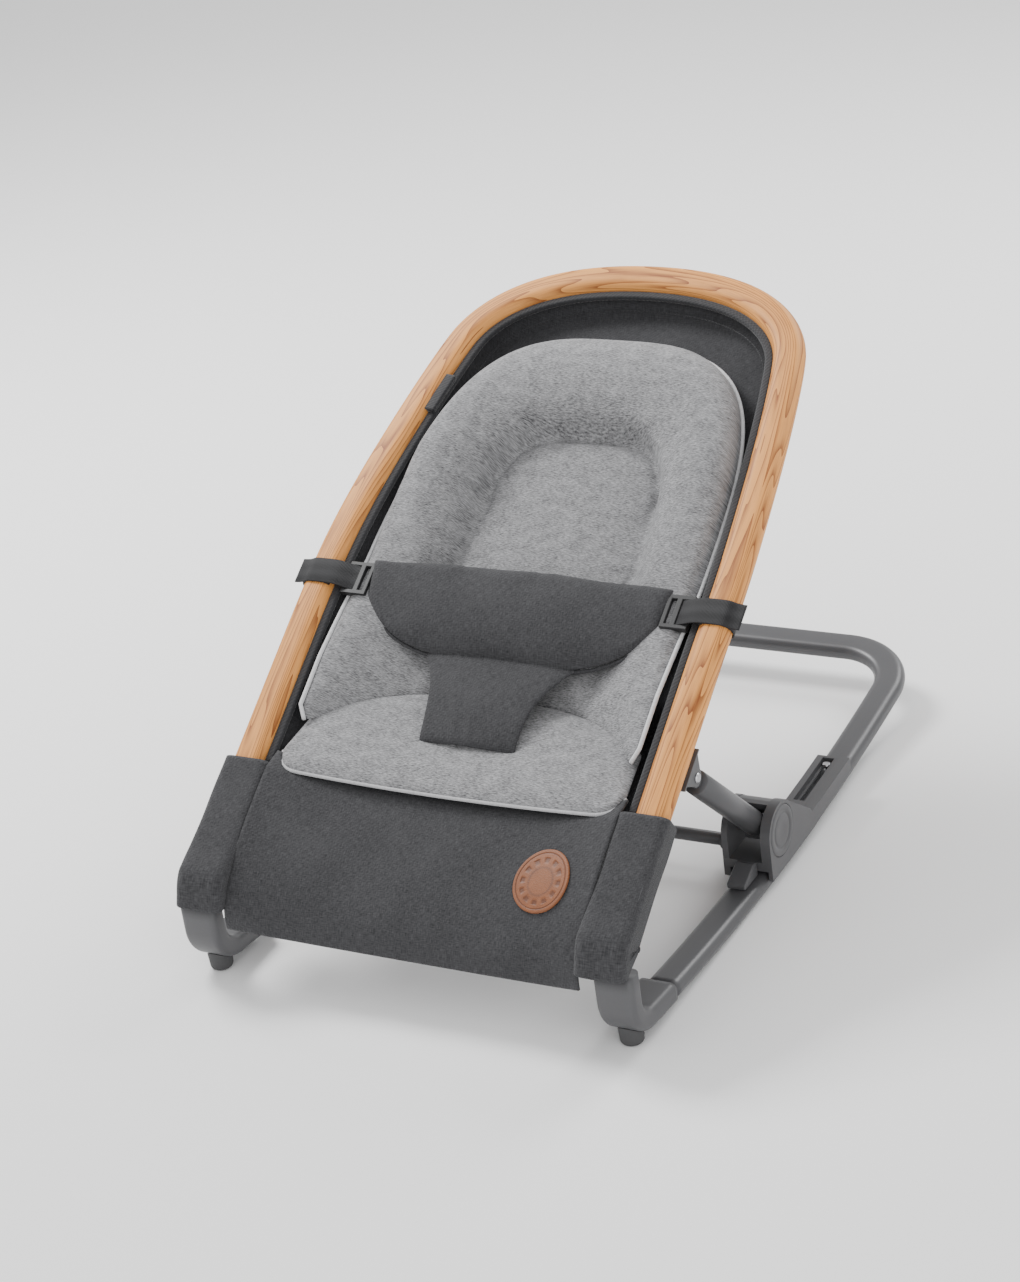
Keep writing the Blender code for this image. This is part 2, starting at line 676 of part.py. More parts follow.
def build_strut_bracket(side, sign):
    """Lug under the leg: a foot plate and two ears that hold the strut's top eye."""
    x = sign * STRUT_X
    s_mid, n_mid = strut_top_station()
    plate_n = -BOW_T / 2 - GAP
    ear_in = EYE_W / 2 + EAR_PLAY
    plate = leg_outline([(s_mid - PLATE_HALF, plate_n - EAR_T), (s_mid + PLATE_HALF, plate_n - EAR_T),
                         (s_mid + PLATE_HALF, plate_n), (s_mid - PLATE_HALF, plate_n)])
    bracket = place(f"strut_bracket_{side}", prism_x(plate, x - ear_in - EAR_T, x + ear_in + EAR_T),
                    DARK_PLASTIC, SEAT)
    arc = [(s_mid + EAR_R * cos(a), n_mid + EAR_R * sin(a)) for a in spread(-pi, 0.0, 9)]
    root = plate_n - EAR_T / 2
    ear = leg_outline([(s_mid - EAR_FLARE, root)] + arc + [(s_mid + EAR_FLARE, root)])
    for label, turn in (("ear_outer", 1), ("ear_inner", -1)):
        combine(bracket, prism_x(ear, x + turn * ear_in, x + turn * (ear_in + EAR_T)), "UNION", label)
    bore = RIVET_R + RUNNING
    combine(bracket, turned_x([(x - 0.03, bore), (x + 0.03, bore)], STRUT_TOP_Y, STRUT_TOP_Z),
            "DIFFERENCE", "rivet_bore")


def build_bracket_rivet(side, sign):
    x = sign * STRUT_X
    reach = EYE_W / 2 + EAR_PLAY + EAR_T + GAP
    head = reach + RIVET_HEAD_T
    profile = [(x - head, RIVET_HEAD_R), (x - reach, RIVET_HEAD_R), (x - reach, RIVET_R),
               (x + reach, RIVET_R), (x + reach, RIVET_HEAD_R), (x + head, RIVET_HEAD_R - 0.0010)]
    place(f"bracket_rivet_{side}", turned_x(profile, STRUT_TOP_Y, STRUT_TOP_Z, 12), BRIGHT_STEEL, SEAT)


# ---- struts ----
STRUT_LEN = hypot(HUB_Y - STRUT_TOP_Y, HUB_Z - STRUT_TOP_Z)


def strut_at(x, distance):
    """Point on the strut's axis, this far down from the top rivet."""
    share = distance / STRUT_LEN
    return (x, STRUT_TOP_Y + (HUB_Y - STRUT_TOP_Y) * share, STRUT_TOP_Z + (HUB_Z - STRUT_TOP_Z) * share)


def build_strut(side, sign):
    x = sign * STRUT_X
    tube = rod(strut_at(x, STRUT_TOP_CUT), strut_at(x, STRUT_LEN - STRUT_LOW_CUT), STRUT_R,
               STRUT_R - STRUT_WALL)
    place(f"strut_{side}", tube, COATED_STEEL, STRUTS)
    eye = place(f"strut_eye_{side}",
                turned_x([(x - EYE_W / 2, EYE_R), (x + EYE_W / 2, EYE_R)], STRUT_TOP_Y, STRUT_TOP_Z, 20),
                DARK_PLASTIC, STRUTS)
    plug = rod(strut_at(x, EYE_R / 2), strut_at(x, PLUG_LEN), EYE_W / 2 - PLUG_PLAY, sides=12)
    combine(eye, plug, "UNION", "plug")
    bore = RIVET_R + RUNNING
    combine(eye, turned_x([(x - 0.03, bore), (x + 0.03, bore)], STRUT_TOP_Y, STRUT_TOP_Z),
            "DIFFERENCE", "bore")
    half = KNUCKLE_W / 2
    knuckle = place(f"strut_knuckle_{side}",
                    turned_x([(x - half, KNUCKLE_R), (x + half, KNUCKLE_R)], HUB_Y, HUB_Z, 20),
                    DARK_PLASTIC, STRUTS)
    plug = rod(strut_at(x, STRUT_LEN - PLUG_LEN - 0.006), strut_at(x, STRUT_LEN - 0.004),
               STRUT_R - STRUT_WALL - GAP - PLUG_PLAY, sides=12)
    combine(knuckle, plug, "UNION", "plug")
    bore = HUB_PIN_R + RUNNING
    combine(knuckle, turned_x([(x - 0.03, bore), (x + 0.03, bore)], HUB_Y, HUB_Z), "DIFFERENCE", "bore")


# ---- carriage: hubs, cross bar, buttons ----
def hub_arc(radius, low, high, count):
    return [(HUB_Y + radius * cos(radians(a)), HUB_Z + radius * sin(radians(a)))
            for a in spread(low, high, count)]


def build_hub_housing(side, sign):
    """Saddle over the rail: two cheeks, a floor, a hood and a slotted tail."""
    x = sign * RAIL_X
    front, floor_end, tail_end = HUB_Y - HUB_FRONT, HUB_Y + FLOOR_REACH, HUB_Y + TAIL_REACH
    outer_in, outer_out = sign * (RAIL_X + HUB_OUT - CHEEK_OUT_T), sign * (RAIL_X + HUB_OUT)
    inner_out, inner_in = sign * (RAIL_X - HUB_IN), sign * (RAIL_X - HUB_IN + CHEEK_IN_T)
    lower = along_rail(front, floor_end, -HUB_LOW)
    upper = along_rail(tail_end, floor_end, LIFT + TAIL_T)
    outline = lower + [(tail_end, rail_top(tail_end) + LIFT - TAIL_LIP)] + upper
    outline.append((floor_end - 0.002, upper[-1][1] + TAIL_SHOULDER))
    outline += hub_arc(HUB_R, 40, 180, 10)
    hub = place(f"hub_housing_{side}", prism_x(outline, outer_in, outer_out), DARK_PLASTIC, CARRIAGE)
    beside_rail = sign * (RAIL_X + RAIL_W / 2 + RAIL_PLAY)
    room = [(tail_end + 0.01, 0.0), (front - 0.01, 0.0)]
    room += along_rail(front - 0.01, tail_end + 0.01, LIFT, 9)
    combine(hub, prism_x(room, outer_in - sign * 0.01, beside_rail), "DIFFERENCE", "rail_room")
    inner_end = HUB_Y + INNER_REACH
    inner = along_rail(front, inner_end, -HUB_LOW) + [(inner_end, rail_top(inner_end) + LIFT + FLOOR_T)]
    combine(hub, prism_x(inner + hub_arc(HUB_R - 0.0006, 30, 180, 10), inner_out, inner_in),
            "UNION", "inner_cheek")
    floor = along_rail(front, floor_end, LIFT) + along_rail(floor_end, front, LIFT + FLOOR_T)
    combine(hub, prism_x(floor, inner_out + sign * 0.0010, outer_out - sign * 0.0010), "UNION", "floor")
    hood = hub_arc(HUB_R - 0.0012, 5, 98, 8) + hub_arc(HOOD_R, 98, 5, 6)
    combine(hub, prism_x(hood, inner_out + sign * 0.0012, outer_in + sign * 0.0010), "UNION", "hood")
    tail = along_rail(floor_end - 0.004, tail_end - 0.001, LIFT)
    tail += along_rail(tail_end - 0.001, floor_end - 0.004, LIFT + TAIL_T - 0.0004)
    combine(hub, prism_x(tail, x - sign * TAIL_W / 2, outer_in + sign * 0.0012), "UNION", "tail")
    slot_front, slot_rear = HUB_Y + SLOT_FRONT, HUB_Y + SLOT_REAR
    for label, width, land, margin in (("slot_recess", RECESS_W, RECESS_LAND, 0.0024),
                                       ("slot", SLOT_W, -LIFT / 2, 0.0)):
        cut = along_rail(slot_front - margin, slot_rear + margin, LIFT + land)
        cut += along_rail(slot_rear + margin, slot_front - margin, LIFT + TAIL_T + 0.01)
        combine(hub, prism_x(cut, x - width / 2, x + width / 2), "DIFFERENCE", label)
    bore = HUB_PIN_R + GAP
    combine(hub, turned_x([(x - 0.04, bore), (x + 0.04, bore)], HUB_Y, HUB_Z), "DIFFERENCE", "pin_bore")
    recess_r = BUTTON_R + BUTTON_PLAY
    combine(hub, turned_x([(sign * recess_floor(), recess_r), (x + sign * 0.04, recess_r)],
                          HUB_Y, HUB_Z, 28), "DIFFERENCE", "button_recess")


def recess_floor():
    """Distance of the button recess's floor from the middle."""
    return RAIL_X + HUB_OUT - BUTTON_T - BUTTON_TRAVEL - POCKET_PLAY


def build_hub_pin(side, sign):
    head = sign * (RAIL_X - HUB_IN - GAP)
    end = sign * (recess_floor() - RAIL_PLAY)
    profile = [(head - sign * 0.0014, 0.0050), (head - sign * 0.0010, 0.0060), (head, 0.0060),
               (head, HUB_PIN_R), (end, HUB_PIN_R)]
    place(f"hub_pin_{side}", turned_x(profile, HUB_Y, HUB_Z), BRIGHT_STEEL, CARRIAGE)


def build_cross_bar():
    half = RAIL_X - HUB_IN - GAP
    place("cross_bar", turned_x([(-half, CROSS_BAR_R), (half, CROSS_BAR_R)], HUB_Y, CROSS_BAR_Z, 14),
          COATED_STEEL, CARRIAGE)
    for side, sign in SIDES.items():
        face, step, end = sign * half, sign * (half - COLLAR_STEP), sign * (half - COLLAR_LEN)
        bore = CROSS_BAR_R + GAP
        profile = [(face, COLLAR_R), (step, COLLAR_R), (step, COLLAR_STEP_R), (end, COLLAR_STEP_R),
                   (end, bore), (face, bore)]
        rings = [[(px, *point) for point in circle(HUB_Y, CROSS_BAR_Z, r)] for px, r in profile]
        place(f"bar_collar_{side}", skin(rings, hollow=True), DARK_PLASTIC, CARRIAGE)


def build_button(side, sign):
    outer = sign * (RAIL_X + HUB_OUT + BUTTON_PROUD)
    inner = outer - sign * BUTTON_T
    rim = outer - sign * BUTTON_EDGE
    profile = [(inner, BUTTON_R), (rim, BUTTON_R), (outer, BUTTON_R - BUTTON_EDGE),
               (outer, BUTTON_DISH_R), (rim, BUTTON_DISH_R - BUTTON_EDGE)]
    place(f"hub_button_{side}", turned_x(profile, HUB_Y, HUB_Z, 28), DARK_PLASTIC, CARRIAGE)
    coil = helix_x(sign * (recess_floor() + GAP), inner - sign * GAP, HUB_Y, HUB_Z)
    place(f"button_spring_{side}", coil, BRIGHT_STEEL, CARRIAGE)


def helix_x(x0, x1, y, z, steps=14, sides=5):
    """Coil spring about an X axis between two faces."""
    sign = 1 if x1 > x0 else -1
    start, end = x0 + sign * SPRING_WIRE_R, x1 - sign * SPRING_WIRE_R
    count = int(SPRING_TURNS * steps)
    rings = []
    for i in range(count + 1):
        angle = 2 * pi * SPRING_TURNS * i / count
        out = Vector((0, cos(angle), sin(angle)))
        centre = Vector((start + (end - start) * i / count, y, z)) + out * SPRING_R
        rings.append([centre + out * SPRING_WIRE_R * cos(2 * pi * k / sides)
                      + Vector((1, 0, 0)) * SPRING_WIRE_R * sin(2 * pi * k / sides)
                      for k in range(sides)])
    return skin(rings)


# ---- sewn seat ----
def seat_top(x, s):
    """Height n of the seat pad's upper face."""
    run = (s - SEAT_FRONT_S) / (SEAT_BACK_S - SEAT_FRONT_S)
    return SEAT_FRONT_N - SEAT_DIP * run + 0.004 * (x / SEAT_HALF_W) ** 2


def back_half_width(s):
    """Half width of the back pad: straight sides, then an arch under the bow."""
    rise = min(0.98, max(0.0, (s - BOW_PARALLEL + 0.026) / (BACK_TOP_S - BOW_PARALLEL + 0.026)))
    return (SEAT_HALF_W - 0.003) * (1 - rise ** 3.2) ** (1 / 3.2)


def back_top(x, s):
    """Height n of the back pad's front face: a shallow trough that flattens at the head."""
    fade = min(1.0, max(0.25, (BACK_TOP_S + 0.04 - s) / 0.20))
    across = min(1.0, abs(x) / back_half_width(s))
    return -0.004 - BACK_DIP * fade * (1 - across ** 2.4)


def shell_dip(s):
    """Depth of the outer shell along its middle."""
    seat_run = (s - SEAT_FRONT_S) / (SEAT_BACK_S - SEAT_FRONT_S)
    seat = SEAT_FRONT_N - SEAT_PAD_T - CLOTH_GAP - SHELL_DROP - (SEAT_DIP + 0.006) * seat_run
    back = back_top(0.0, max(s, SEAT_BACK_S)) - BACK_PAD_T - CLOTH_GAP - 0.001
    return max(seat, back)


def bow_inner(s):
    """Half width between the bow's inner sides at station s."""
    if s <= BOW_PARALLEL:
        return LEG_X - BOW_W / 2
    route = [(x, t) for x, t in bow_route() if x >= 0]
    edge = []
    for (x0, s0), (x1, s1) in zip(route, route[1:]):
        length = hypot(x1 - x0, s1 - s0)
        edge.append(((x0 + x1) / 2 - (s1 - s0) / length * BOW_W / 2,
                     (s0 + s1) / 2 - (x0 - x1) / length * BOW_W / 2))
    for (x0, s0), (x1, s1) in zip(edge, edge[1:]):
        if s0 <= s <= s1:
            return x0 + (x1 - x0) * (s - s0) / (s1 - s0)
    return 0.0


def build_fabric_shell():
    columns = (-1, -0.985, -0.95, -0.85, -0.6, -0.3, 0, 0.3, 0.6, 0.85, 0.95, 0.985, 1)
    top = BOW_SHOULDER + 0.030
    stations = spread(SEAT_FRONT_S + 0.006, SEAT_BACK_S + 0.006, 5) + spread(SEAT_BACK_S + 0.03, top, 11)
    grid = []
    for s in stations:
        half = bow_inner(s) - SHELL_INSET
        grid.append([seat_point(c * half, s, -SHELL_EDGE + (shell_dip(s) + SHELL_EDGE) * (1 - abs(c) ** 40))
                     for c in columns])
    place("fabric_shell", sheet(grid, SHELL_T), SHELL_CLOTH, SEAT)


def build_pads():
    grid = [[seat_point(x, s, seat_top(x, s)) for x in spread(-SEAT_HALF_W, SEAT_HALF_W, 9)]
            for s in spread(SEAT_FRONT_S, SEAT_BACK_S, 5)]
    place("seat_pad", sheet(grid, SEAT_PAD_T), GREY_JERSEY, SEAT)
    low, high = SEAT_BACK_S + 0.006, BACK_TOP_S - 0.006
    grid = []
    for s in spread(low, high, 13):
        half = back_half_width(s)
        grid.append([seat_point(x, s, back_top(x, s)) for x in spread(-half, half, 11)])
    place("back_pad", sheet(grid, BACK_PAD_T), GREY_JERSEY, SEAT)
    grid = []
    for s in spread(HEAD_LOW_S, HEAD_TOP_S, 7):
        run = (s - HEAD_LOW_S) / (HEAD_TOP_S - HEAD_LOW_S)
        half = HEAD_HALF_W * (0.45 + 0.55 * sqrt(max(0.0, 1 - (2 * run - 0.8) ** 2 / 1.5)))
        grid.append([seat_point(x, s, back_top(x, s) + HEAD_LIFT + HEAD_T) for x in spread(-half, half, 7)])
    place("head_pad", sheet(grid, HEAD_T), GREY_JERSEY, SEAT)


def skirt_point(c, t):
    """Point of the front skirt: c runs across from -1 to 1, t from the top seam to the hem."""
    s = SEAT_FRONT_S - CLOTH_GAP - 0.001 + (SKIRT_HEM_S - SEAT_FRONT_S) * t
    edge_n = 0.0080 - 0.0160 * t * t
    middle_n = SEAT_FRONT_N - 0.002 + (SKIRT_HEM_N - SEAT_FRONT_N) * t
    lift = 0.022 * t ** 5 * c ** 6
    n = middle_n + (edge_n - middle_n) * abs(c) ** 3
    return seat_point(c * SKIRT_HALF_W, s + lift, n)


def build_skirt_and_sleeves():
    grid = [[skirt_point(c, t) for c in spread(-1, 1, 13)] for t in spread(1, 0, 8)]
    place("front_skirt", sheet(grid, SHELL_T), CHARCOAL, SEAT)
    top_n = SOCKET_HALF_T + SLEEVE_GAP
    reach = FORK_R + SLEEVE_ROOM
    low_z = HINGE_Z - SLEEVE_DROP

    def side_profile(grow, past):
        """(y, z) outline round the leg's end; grow thickens it, past opens it at its ends."""
        r = reach + grow
        nose = [(HINGE_Y + r * cos(radians(a)), HINGE_Z + r * sin(radians(a)))
                for a in spread(90 + TILT_LOW, 180, 6)]
        front = [(HINGE_Y - r, low_z - past), (HINGE_Y + FORK_R, low_z - past)]
        under = leg_outline([(SLEEVE_HEEL_S, -top_n - 0.002 - past), (SLEEVE_TOP_S + past, -top_n - past)])
        return leg_outline([(SLEEVE_TOP_S + past, top_n + grow)]) + nose + front + under

    room = SOCKET_HALF_W + GAP + PIN_HEAD_T + CLOTH_GAP / 2
    for side, sign in SIDES.items():
        inner, outer = sign * (LEG_X - room), sign * (LEG_X + room)
        solid = prism_x(side_profile(SLEEVE_T, 0.0), inner - sign * SLEEVE_T, outer + sign * SLEEVE_T)
        sleeve = place(f"leg_sleeve_{side}", solid, CHARCOAL, SEAT)
        combine(sleeve, prism_x(side_profile(0.0, 0.01), inner, outer), "DIFFERENCE", "leg_room")


def build_belly_pad():
    """Waist pad and the strap that ties it down between the child's legs."""
    grid = []
    for s in spread(BELLY_LOW_S, BELLY_TOP_S, 5):
        run = (s - BELLY_LOW_S) / (BELLY_TOP_S - BELLY_LOW_S)
        half = BELLY_HALF_W * (0.62 + 0.38 * run ** 0.6)
        grid.append([seat_point(x, s, BELLY_LOW_N + BELLY_RISE * run) for x in spread(-half, half, 9)])
    place("belly_pad", sheet(grid, BELLY_T), CHARCOAL, SEAT)
    start_n = seat_top(CROTCH_HALF_W, CROTCH_LOW_S) + CLOTH_GAP + CROTCH_T
    grid = []
    for s in spread(CROTCH_LOW_S, BELLY_LOW_S - CLOTH_GAP, 6):
        run = (s - CROTCH_LOW_S) / (BELLY_LOW_S - CROTCH_LOW_S)
        half = CROTCH_HALF_W * (1 + 0.35 * run ** 3)
        n = start_n + (BELLY_LOW_N - BELLY_T / 2 - start_n) * run ** 1.5
        grid.append([seat_point(x, s, n) for x in spread(-half, half, 5)])
    place("crotch_strap", sheet(grid, CROTCH_T), CHARCOAL, SEAT)


def leg_rectangle(half_s, low_n, high_n):
    """(y, z) rectangle about the strap's station."""
    return leg_outline([(STRAP_S - half_s, low_n), (STRAP_S + half_s, low_n),
                        (STRAP_S + half_s, high_n), (STRAP_S - half_s, high_n)])


def build_leg_strap(side, sign):
    """Webbing loop round the leg with a tab towards its buckle."""
    x = sign * LEG_X
    inside, outside = STRAP_CLEAR, STRAP_CLEAR + STRAP_T
    rings = []
    for end, grow in ((-1, outside), (1, outside), (1, inside), (-1, inside)):
        section = flat_oval(BOW_W + 2 * grow, BOW_T + 2 * grow, 6)
        station = STRAP_S + end * STRAP_W / 2
        rings.append(bow_ring((x, station - 0.01), (x, station), (x, station + 0.01), section))
    strap = place(f"leg_strap_{side}", skin(rings, hollow=True), WEBBING, SEAT)
    tab_in = sign * (BUCKLE_OUT + CLOTH_GAP)
    tab_out = x - sign * (BOW_W / 2 + STRAP_CLEAR + STRAP_T / 2)
    tab = leg_rectangle(STRAP_W / 2 - 0.002, -STRAP_T / 2, STRAP_T / 2)
    combine(strap, prism_x(tab, tab_in, tab_out), "UNION", "tab")


def build_buckle(side, sign):
    """Flat slide buckle with two slots."""
    frame = leg_rectangle(BUCKLE_HALF, -0.0012, 0.0052)
    buckle = place(f"buckle_{side}", prism_x(frame, sign * BUCKLE_IN, sign * BUCKLE_OUT),
                   DARK_PLASTIC, SEAT)
    for label, low, high in (("inner_slot", 0.0040, 0.0090), ("outer_slot", 0.0140, 0.0220)):
        slot = leg_rectangle(BUCKLE_HALF - 0.0040, -0.01, 0.01)
        combine(buckle, prism_x(slot, sign * (BUCKLE_IN + low), sign * (BUCKLE_IN + high)),
                "DIFFERENCE", label)


def build_badge():
    """Round leather patch lying on the skirt."""
    c = BADGE_X / SKIRT_HALF_W
    t = (BADGE_S - SEAT_FRONT_S) / (SKIRT_HEM_S - SEAT_FRONT_S)
    centre = skirt_point(c, t)
    across = (skirt_point(c + 0.1, t) - skirt_point(c - 0.1, t)).normalized()
    up = (skirt_point(c, t - 0.1) - skirt_point(c, t + 0.1)).normalized()
    out = across.cross(up).normalized()
    up = out.cross(across)
    lift = 0.0026
    rings = []
    for height, r in ((lift, BADGE_R), (lift + 0.0012, BADGE_R)):
        rings.append([centre + out * height + across * r * cos(a) + up * r * sin(a)
                      for a in spread(0.0, 2 * pi * 23 / 24, 24)])
    place("badge", skin(rings), LEATHER, SEAT)


build_base_tube()
build_seat_bow()
build_front_cross_tube()
build_cross_bar()
build_fabric_shell()
build_pads()
build_skirt_and_sleeves()
build_belly_pad()
build_badge()
for side_name, side_sign in SIDES.items():
    for builder in (build_front_bend, build_front_foot, build_front_pin, build_rail_stop, build_guide_rivet,
                    build_leg_socket, build_strut_bracket, build_bracket_rivet, build_strut,
                    build_hub_housing, build_hub_pin, build_button, build_leg_strap, build_buckle):
        builder(side_name, side_sign)

# Centre the part on Y between the sleeve noses and the rear cross piece.
front_most = HINGE_Y - FORK_R - SLEEVE_ROOM - SLEEVE_T
rear_most = REAR_Y + RAIL_W / 2
for frame in (BASE, SEAT, STRUTS, CARRIAGE):
    frame.location.y -= (front_most + rear_most) / 2
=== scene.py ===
"""Looks of the bouncer seat: bentwood bow, sewn padded seat, rocking tube base."""

import bpy
import bmesh
import numpy as np
from mathutils import Matrix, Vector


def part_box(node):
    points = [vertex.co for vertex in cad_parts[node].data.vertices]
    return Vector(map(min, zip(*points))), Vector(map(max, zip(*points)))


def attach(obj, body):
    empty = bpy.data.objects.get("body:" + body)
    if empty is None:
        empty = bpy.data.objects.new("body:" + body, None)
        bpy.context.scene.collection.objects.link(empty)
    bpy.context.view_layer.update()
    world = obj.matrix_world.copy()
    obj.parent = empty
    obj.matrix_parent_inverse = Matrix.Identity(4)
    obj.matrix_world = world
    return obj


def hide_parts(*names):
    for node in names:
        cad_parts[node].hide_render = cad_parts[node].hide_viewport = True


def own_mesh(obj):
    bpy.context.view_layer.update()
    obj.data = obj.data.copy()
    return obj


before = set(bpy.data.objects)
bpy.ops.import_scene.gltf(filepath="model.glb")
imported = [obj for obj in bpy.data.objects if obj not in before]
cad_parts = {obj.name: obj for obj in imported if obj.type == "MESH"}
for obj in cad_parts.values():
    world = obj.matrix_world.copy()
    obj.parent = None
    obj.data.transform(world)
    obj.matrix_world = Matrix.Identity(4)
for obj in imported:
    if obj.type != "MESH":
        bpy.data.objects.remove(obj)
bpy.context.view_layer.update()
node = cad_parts


# ==== Camera, floor and light ====
# The seat is seen from in front and a little to the side of +X, from above, through a short
# telephoto lens. A pale floor runs out of sight, and broad lamps light it softly.
camera_data = bpy.data.cameras.new("camera")
camera_data.lens = 82.84
camera_data.sensor_width = 36.0
camera = bpy.data.objects.new("camera", camera_data)
CAMERA_PLACE = (1.2096, -2.0618, 1.3594)
CAMERA_RIGHT = (0.8778, 0.4609, -0.1304)
CAMERA_UP = (-0.1015, 0.4450, 0.8897)
CAMERA_BACK = (0.4681, -0.7678, 0.4374)
axes = Matrix((CAMERA_RIGHT, CAMERA_UP, CAMERA_BACK)).transposed().to_4x4()
camera.matrix_world = Matrix.Translation(CAMERA_PLACE) @ axes
bpy.context.scene.collection.objects.link(camera)
bpy.context.scene.camera = camera

floor_mesh = bpy.data.meshes.new("floor")
FLOOR_HALF = 12.0
corners = [(-FLOOR_HALF, -FLOOR_HALF, 0), (FLOOR_HALF, -FLOOR_HALF, 0),
           (FLOOR_HALF, FLOOR_HALF, 0), (-FLOOR_HALF, FLOOR_HALF, 0)]
floor_mesh.from_pydata(corners, [], [(0, 1, 2, 3)])
floor = bpy.data.objects.new("floor", floor_mesh)
bpy.context.scene.collection.objects.link(floor)
floor_look = bpy.data.materials.new("floor")
floor_look.use_nodes = True
floor_inputs = floor_look.node_tree.nodes["Principled BSDF"].inputs
floor_inputs["Base Color"].default_value = (0.93, 0.93, 0.93, 1)
floor_inputs["Roughness"].default_value = 0.9
floor_mesh.materials.append(floor_look)

world = bpy.data.worlds.new("daylight")
world.use_nodes = True
world.node_tree.nodes["Background"].inputs["Color"].default_value = (1.0, 1.0, 1.0, 1)
world.node_tree.nodes["Background"].inputs["Strength"].default_value = 1.0
bpy.context.scene.world = world


def area_lamp(name, place, aim, size, watts):
    """A square lamp at place, turned to face aim."""
    data = bpy.data.lights.new(name, "AREA")
    data.size = size
    data.energy = watts
    lamp = bpy.data.objects.new(name, data)
    lamp.location = place
    toward = Matrix.Translation(aim).translation - lamp.location
    lamp.rotation_euler = toward.to_track_quat("-Z", "Y").to_euler()
    bpy.context.scene.collection.objects.link(lamp)


area_lamp("key_lamp", (-1.7, 0.5, 2.1), (0, 0, 0.2), 0.9, 75)
area_lamp("fill_lamp", (1.8, -1.6, 1.0), (0, 0, 0.2), 1.6, 12)
area_lamp("back_lamp", (0.7, 2.0, 1.6), (0, 0.1, 0.3), 1.0, 30)


# ==== Rocking tube base ====
# One length of flat oval steel tube bent to a U, rolled to a long arc so that it rocks, and
# coated in a satin dark grey. It is drawn afresh here because a real tube has no facets.
RAIL_X = 0.2045
RAIL_W = 0.030
RAIL_T = 0.016
ROCKER_R = 2.374
SHIFT = 0.3177            # from the front feet's line to the middle of the seat
ROCKER_LOW = 0.2548 - SHIFT
REAR_Y = 0.6392 - SHIFT
REAR_BEND_R = 0.0625
RAIL_START = 0.062 - SHIFT


def rail_height(y):
    """Height of the rail's centreline: half its thickness plus the square of the way from its
    lowest point over twice the radius."""
    return RAIL_T / 2 + (y - ROCKER_LOW) ** 2 / (2 * ROCKER_R)


def mesh_piece(name, points, faces, cut=None):
    """Makes an object of points (n, 3) and faces; cut is each point's place on the flat cloth."""
    mesh = bpy.data.meshes.new(name)
    mesh.from_pydata(np.asarray(points, float).reshape(-1, 3).tolist(), [], faces)
    mesh.shade_smooth()
    if cut is not None:
        layer = mesh.uv_layers.new(name="cut")
        corner = np.zeros(len(mesh.loops), np.int32)
        mesh.loops.foreach_get("vertex_index", corner)
        layer.data.foreach_set("uv", np.asarray(cut, float).reshape(-1, 2)[corner].astype(np.float32).ravel())
    piece = bpy.data.objects.new(name, mesh)
    bpy.context.scene.collection.objects.link(piece)
    return piece


def grid_faces(rows, cols, wrap=False, start=0, flip=False):
    """Quads between the rows of a grid of points; wrap joins the last column to the first."""
    i, j = np.meshgrid(np.arange(rows - 1), np.arange(cols if wrap else cols - 1), indexing="ij")
    k = (j + 1) % cols
    quads = np.stack([i * cols + j, i * cols + k, (i + 1) * cols + k, (i + 1) * cols + j], -1).reshape(-1, 4)
    return (start + (quads[:, ::-1] if flip else quads)).tolist()


def unit(vectors):
    """The same directions, each one long."""
    return vectors / np.linalg.norm(vectors, axis=-1, keepdims=True)


def run_length(points):
    """How far along a line each of its points lies: the sum of the steps up to it."""
    return np.concatenate([[0], np.cumsum(np.linalg.norm(np.diff(points, axis=0), axis=1))])


def outwards(piece):
    """Turns every face of a closed piece to point out."""
    bm = bmesh.new()
    bm.from_mesh(piece.data)
    bmesh.ops.recalc_face_normals(bm, faces=bm.faces)
    bm.to_mesh(piece.data)
    bm.free()
    return piece


def sweep(name, centres, across, up, section):
    """Carries a closed section of (across, up) pairs along centres: point = centre + a * across + b * up."""
    section = np.asarray(section, float)
    centres, across, up = (np.asarray(a, float) for a in (centres, across, up))
    rings = centres[:, None] + section[None, :, :1] * across[:, None] + section[None, :, 1:] * up[:, None]
    rows, cols = rings.shape[:2]
    faces = grid_faces(rows, cols, wrap=True)
    faces += [list(range(cols)), list(range((rows - 1) * cols, rows * cols))]
    along = run_length(centres)
    girth = run_length(section)
    cut = np.stack(np.broadcast_arrays(girth[None, :], along[:, None]), -1)
    return outwards(mesh_piece(name, rings, faces, cut))


def flat_oval(width, thick, count=12):
    """Flat-sided oval of two half circles, joined by straight sides."""
    angle = np.linspace(-np.pi / 2, np.pi / 2, count)
    half = (width - thick) / 2
    right = np.stack([half + thick / 2 * np.cos(angle), thick / 2 * np.sin(angle)], 1)
    return np.vstack([right, -right])


bend_y, bend_x = REAR_Y - REAR_BEND_R, RAIL_X - REAR_BEND_R
straight_y = np.linspace(RAIL_START, bend_y, 60)
turn = np.linspace(0, np.pi / 2, 25)[1:]
plan = np.vstack([np.stack([np.full(60, RAIL_X), straight_y], 1),
                  np.stack([bend_x + REAR_BEND_R * np.cos(turn), bend_y + REAR_BEND_R * np.sin(turn)], 1)])
plan = np.vstack([plan, plan[::-1] * (-1, 1)])
tube_line = np.column_stack([plan, rail_height(plan[:, 1])])
tube_along = unit(np.gradient(tube_line, axis=0))
rail_slope = (plan[:, 1] - ROCKER_LOW) / ROCKER_R
tube_up = unit(np.column_stack([np.zeros(len(plan)), -rail_slope, np.ones(len(plan))]))
tube_across = unit(np.cross(tube_along, tube_up))
rocker_tube = sweep("rocker_tube", tube_line, tube_across, np.cross(tube_across, tube_along),
                    flat_oval(RAIL_W, RAIL_T))


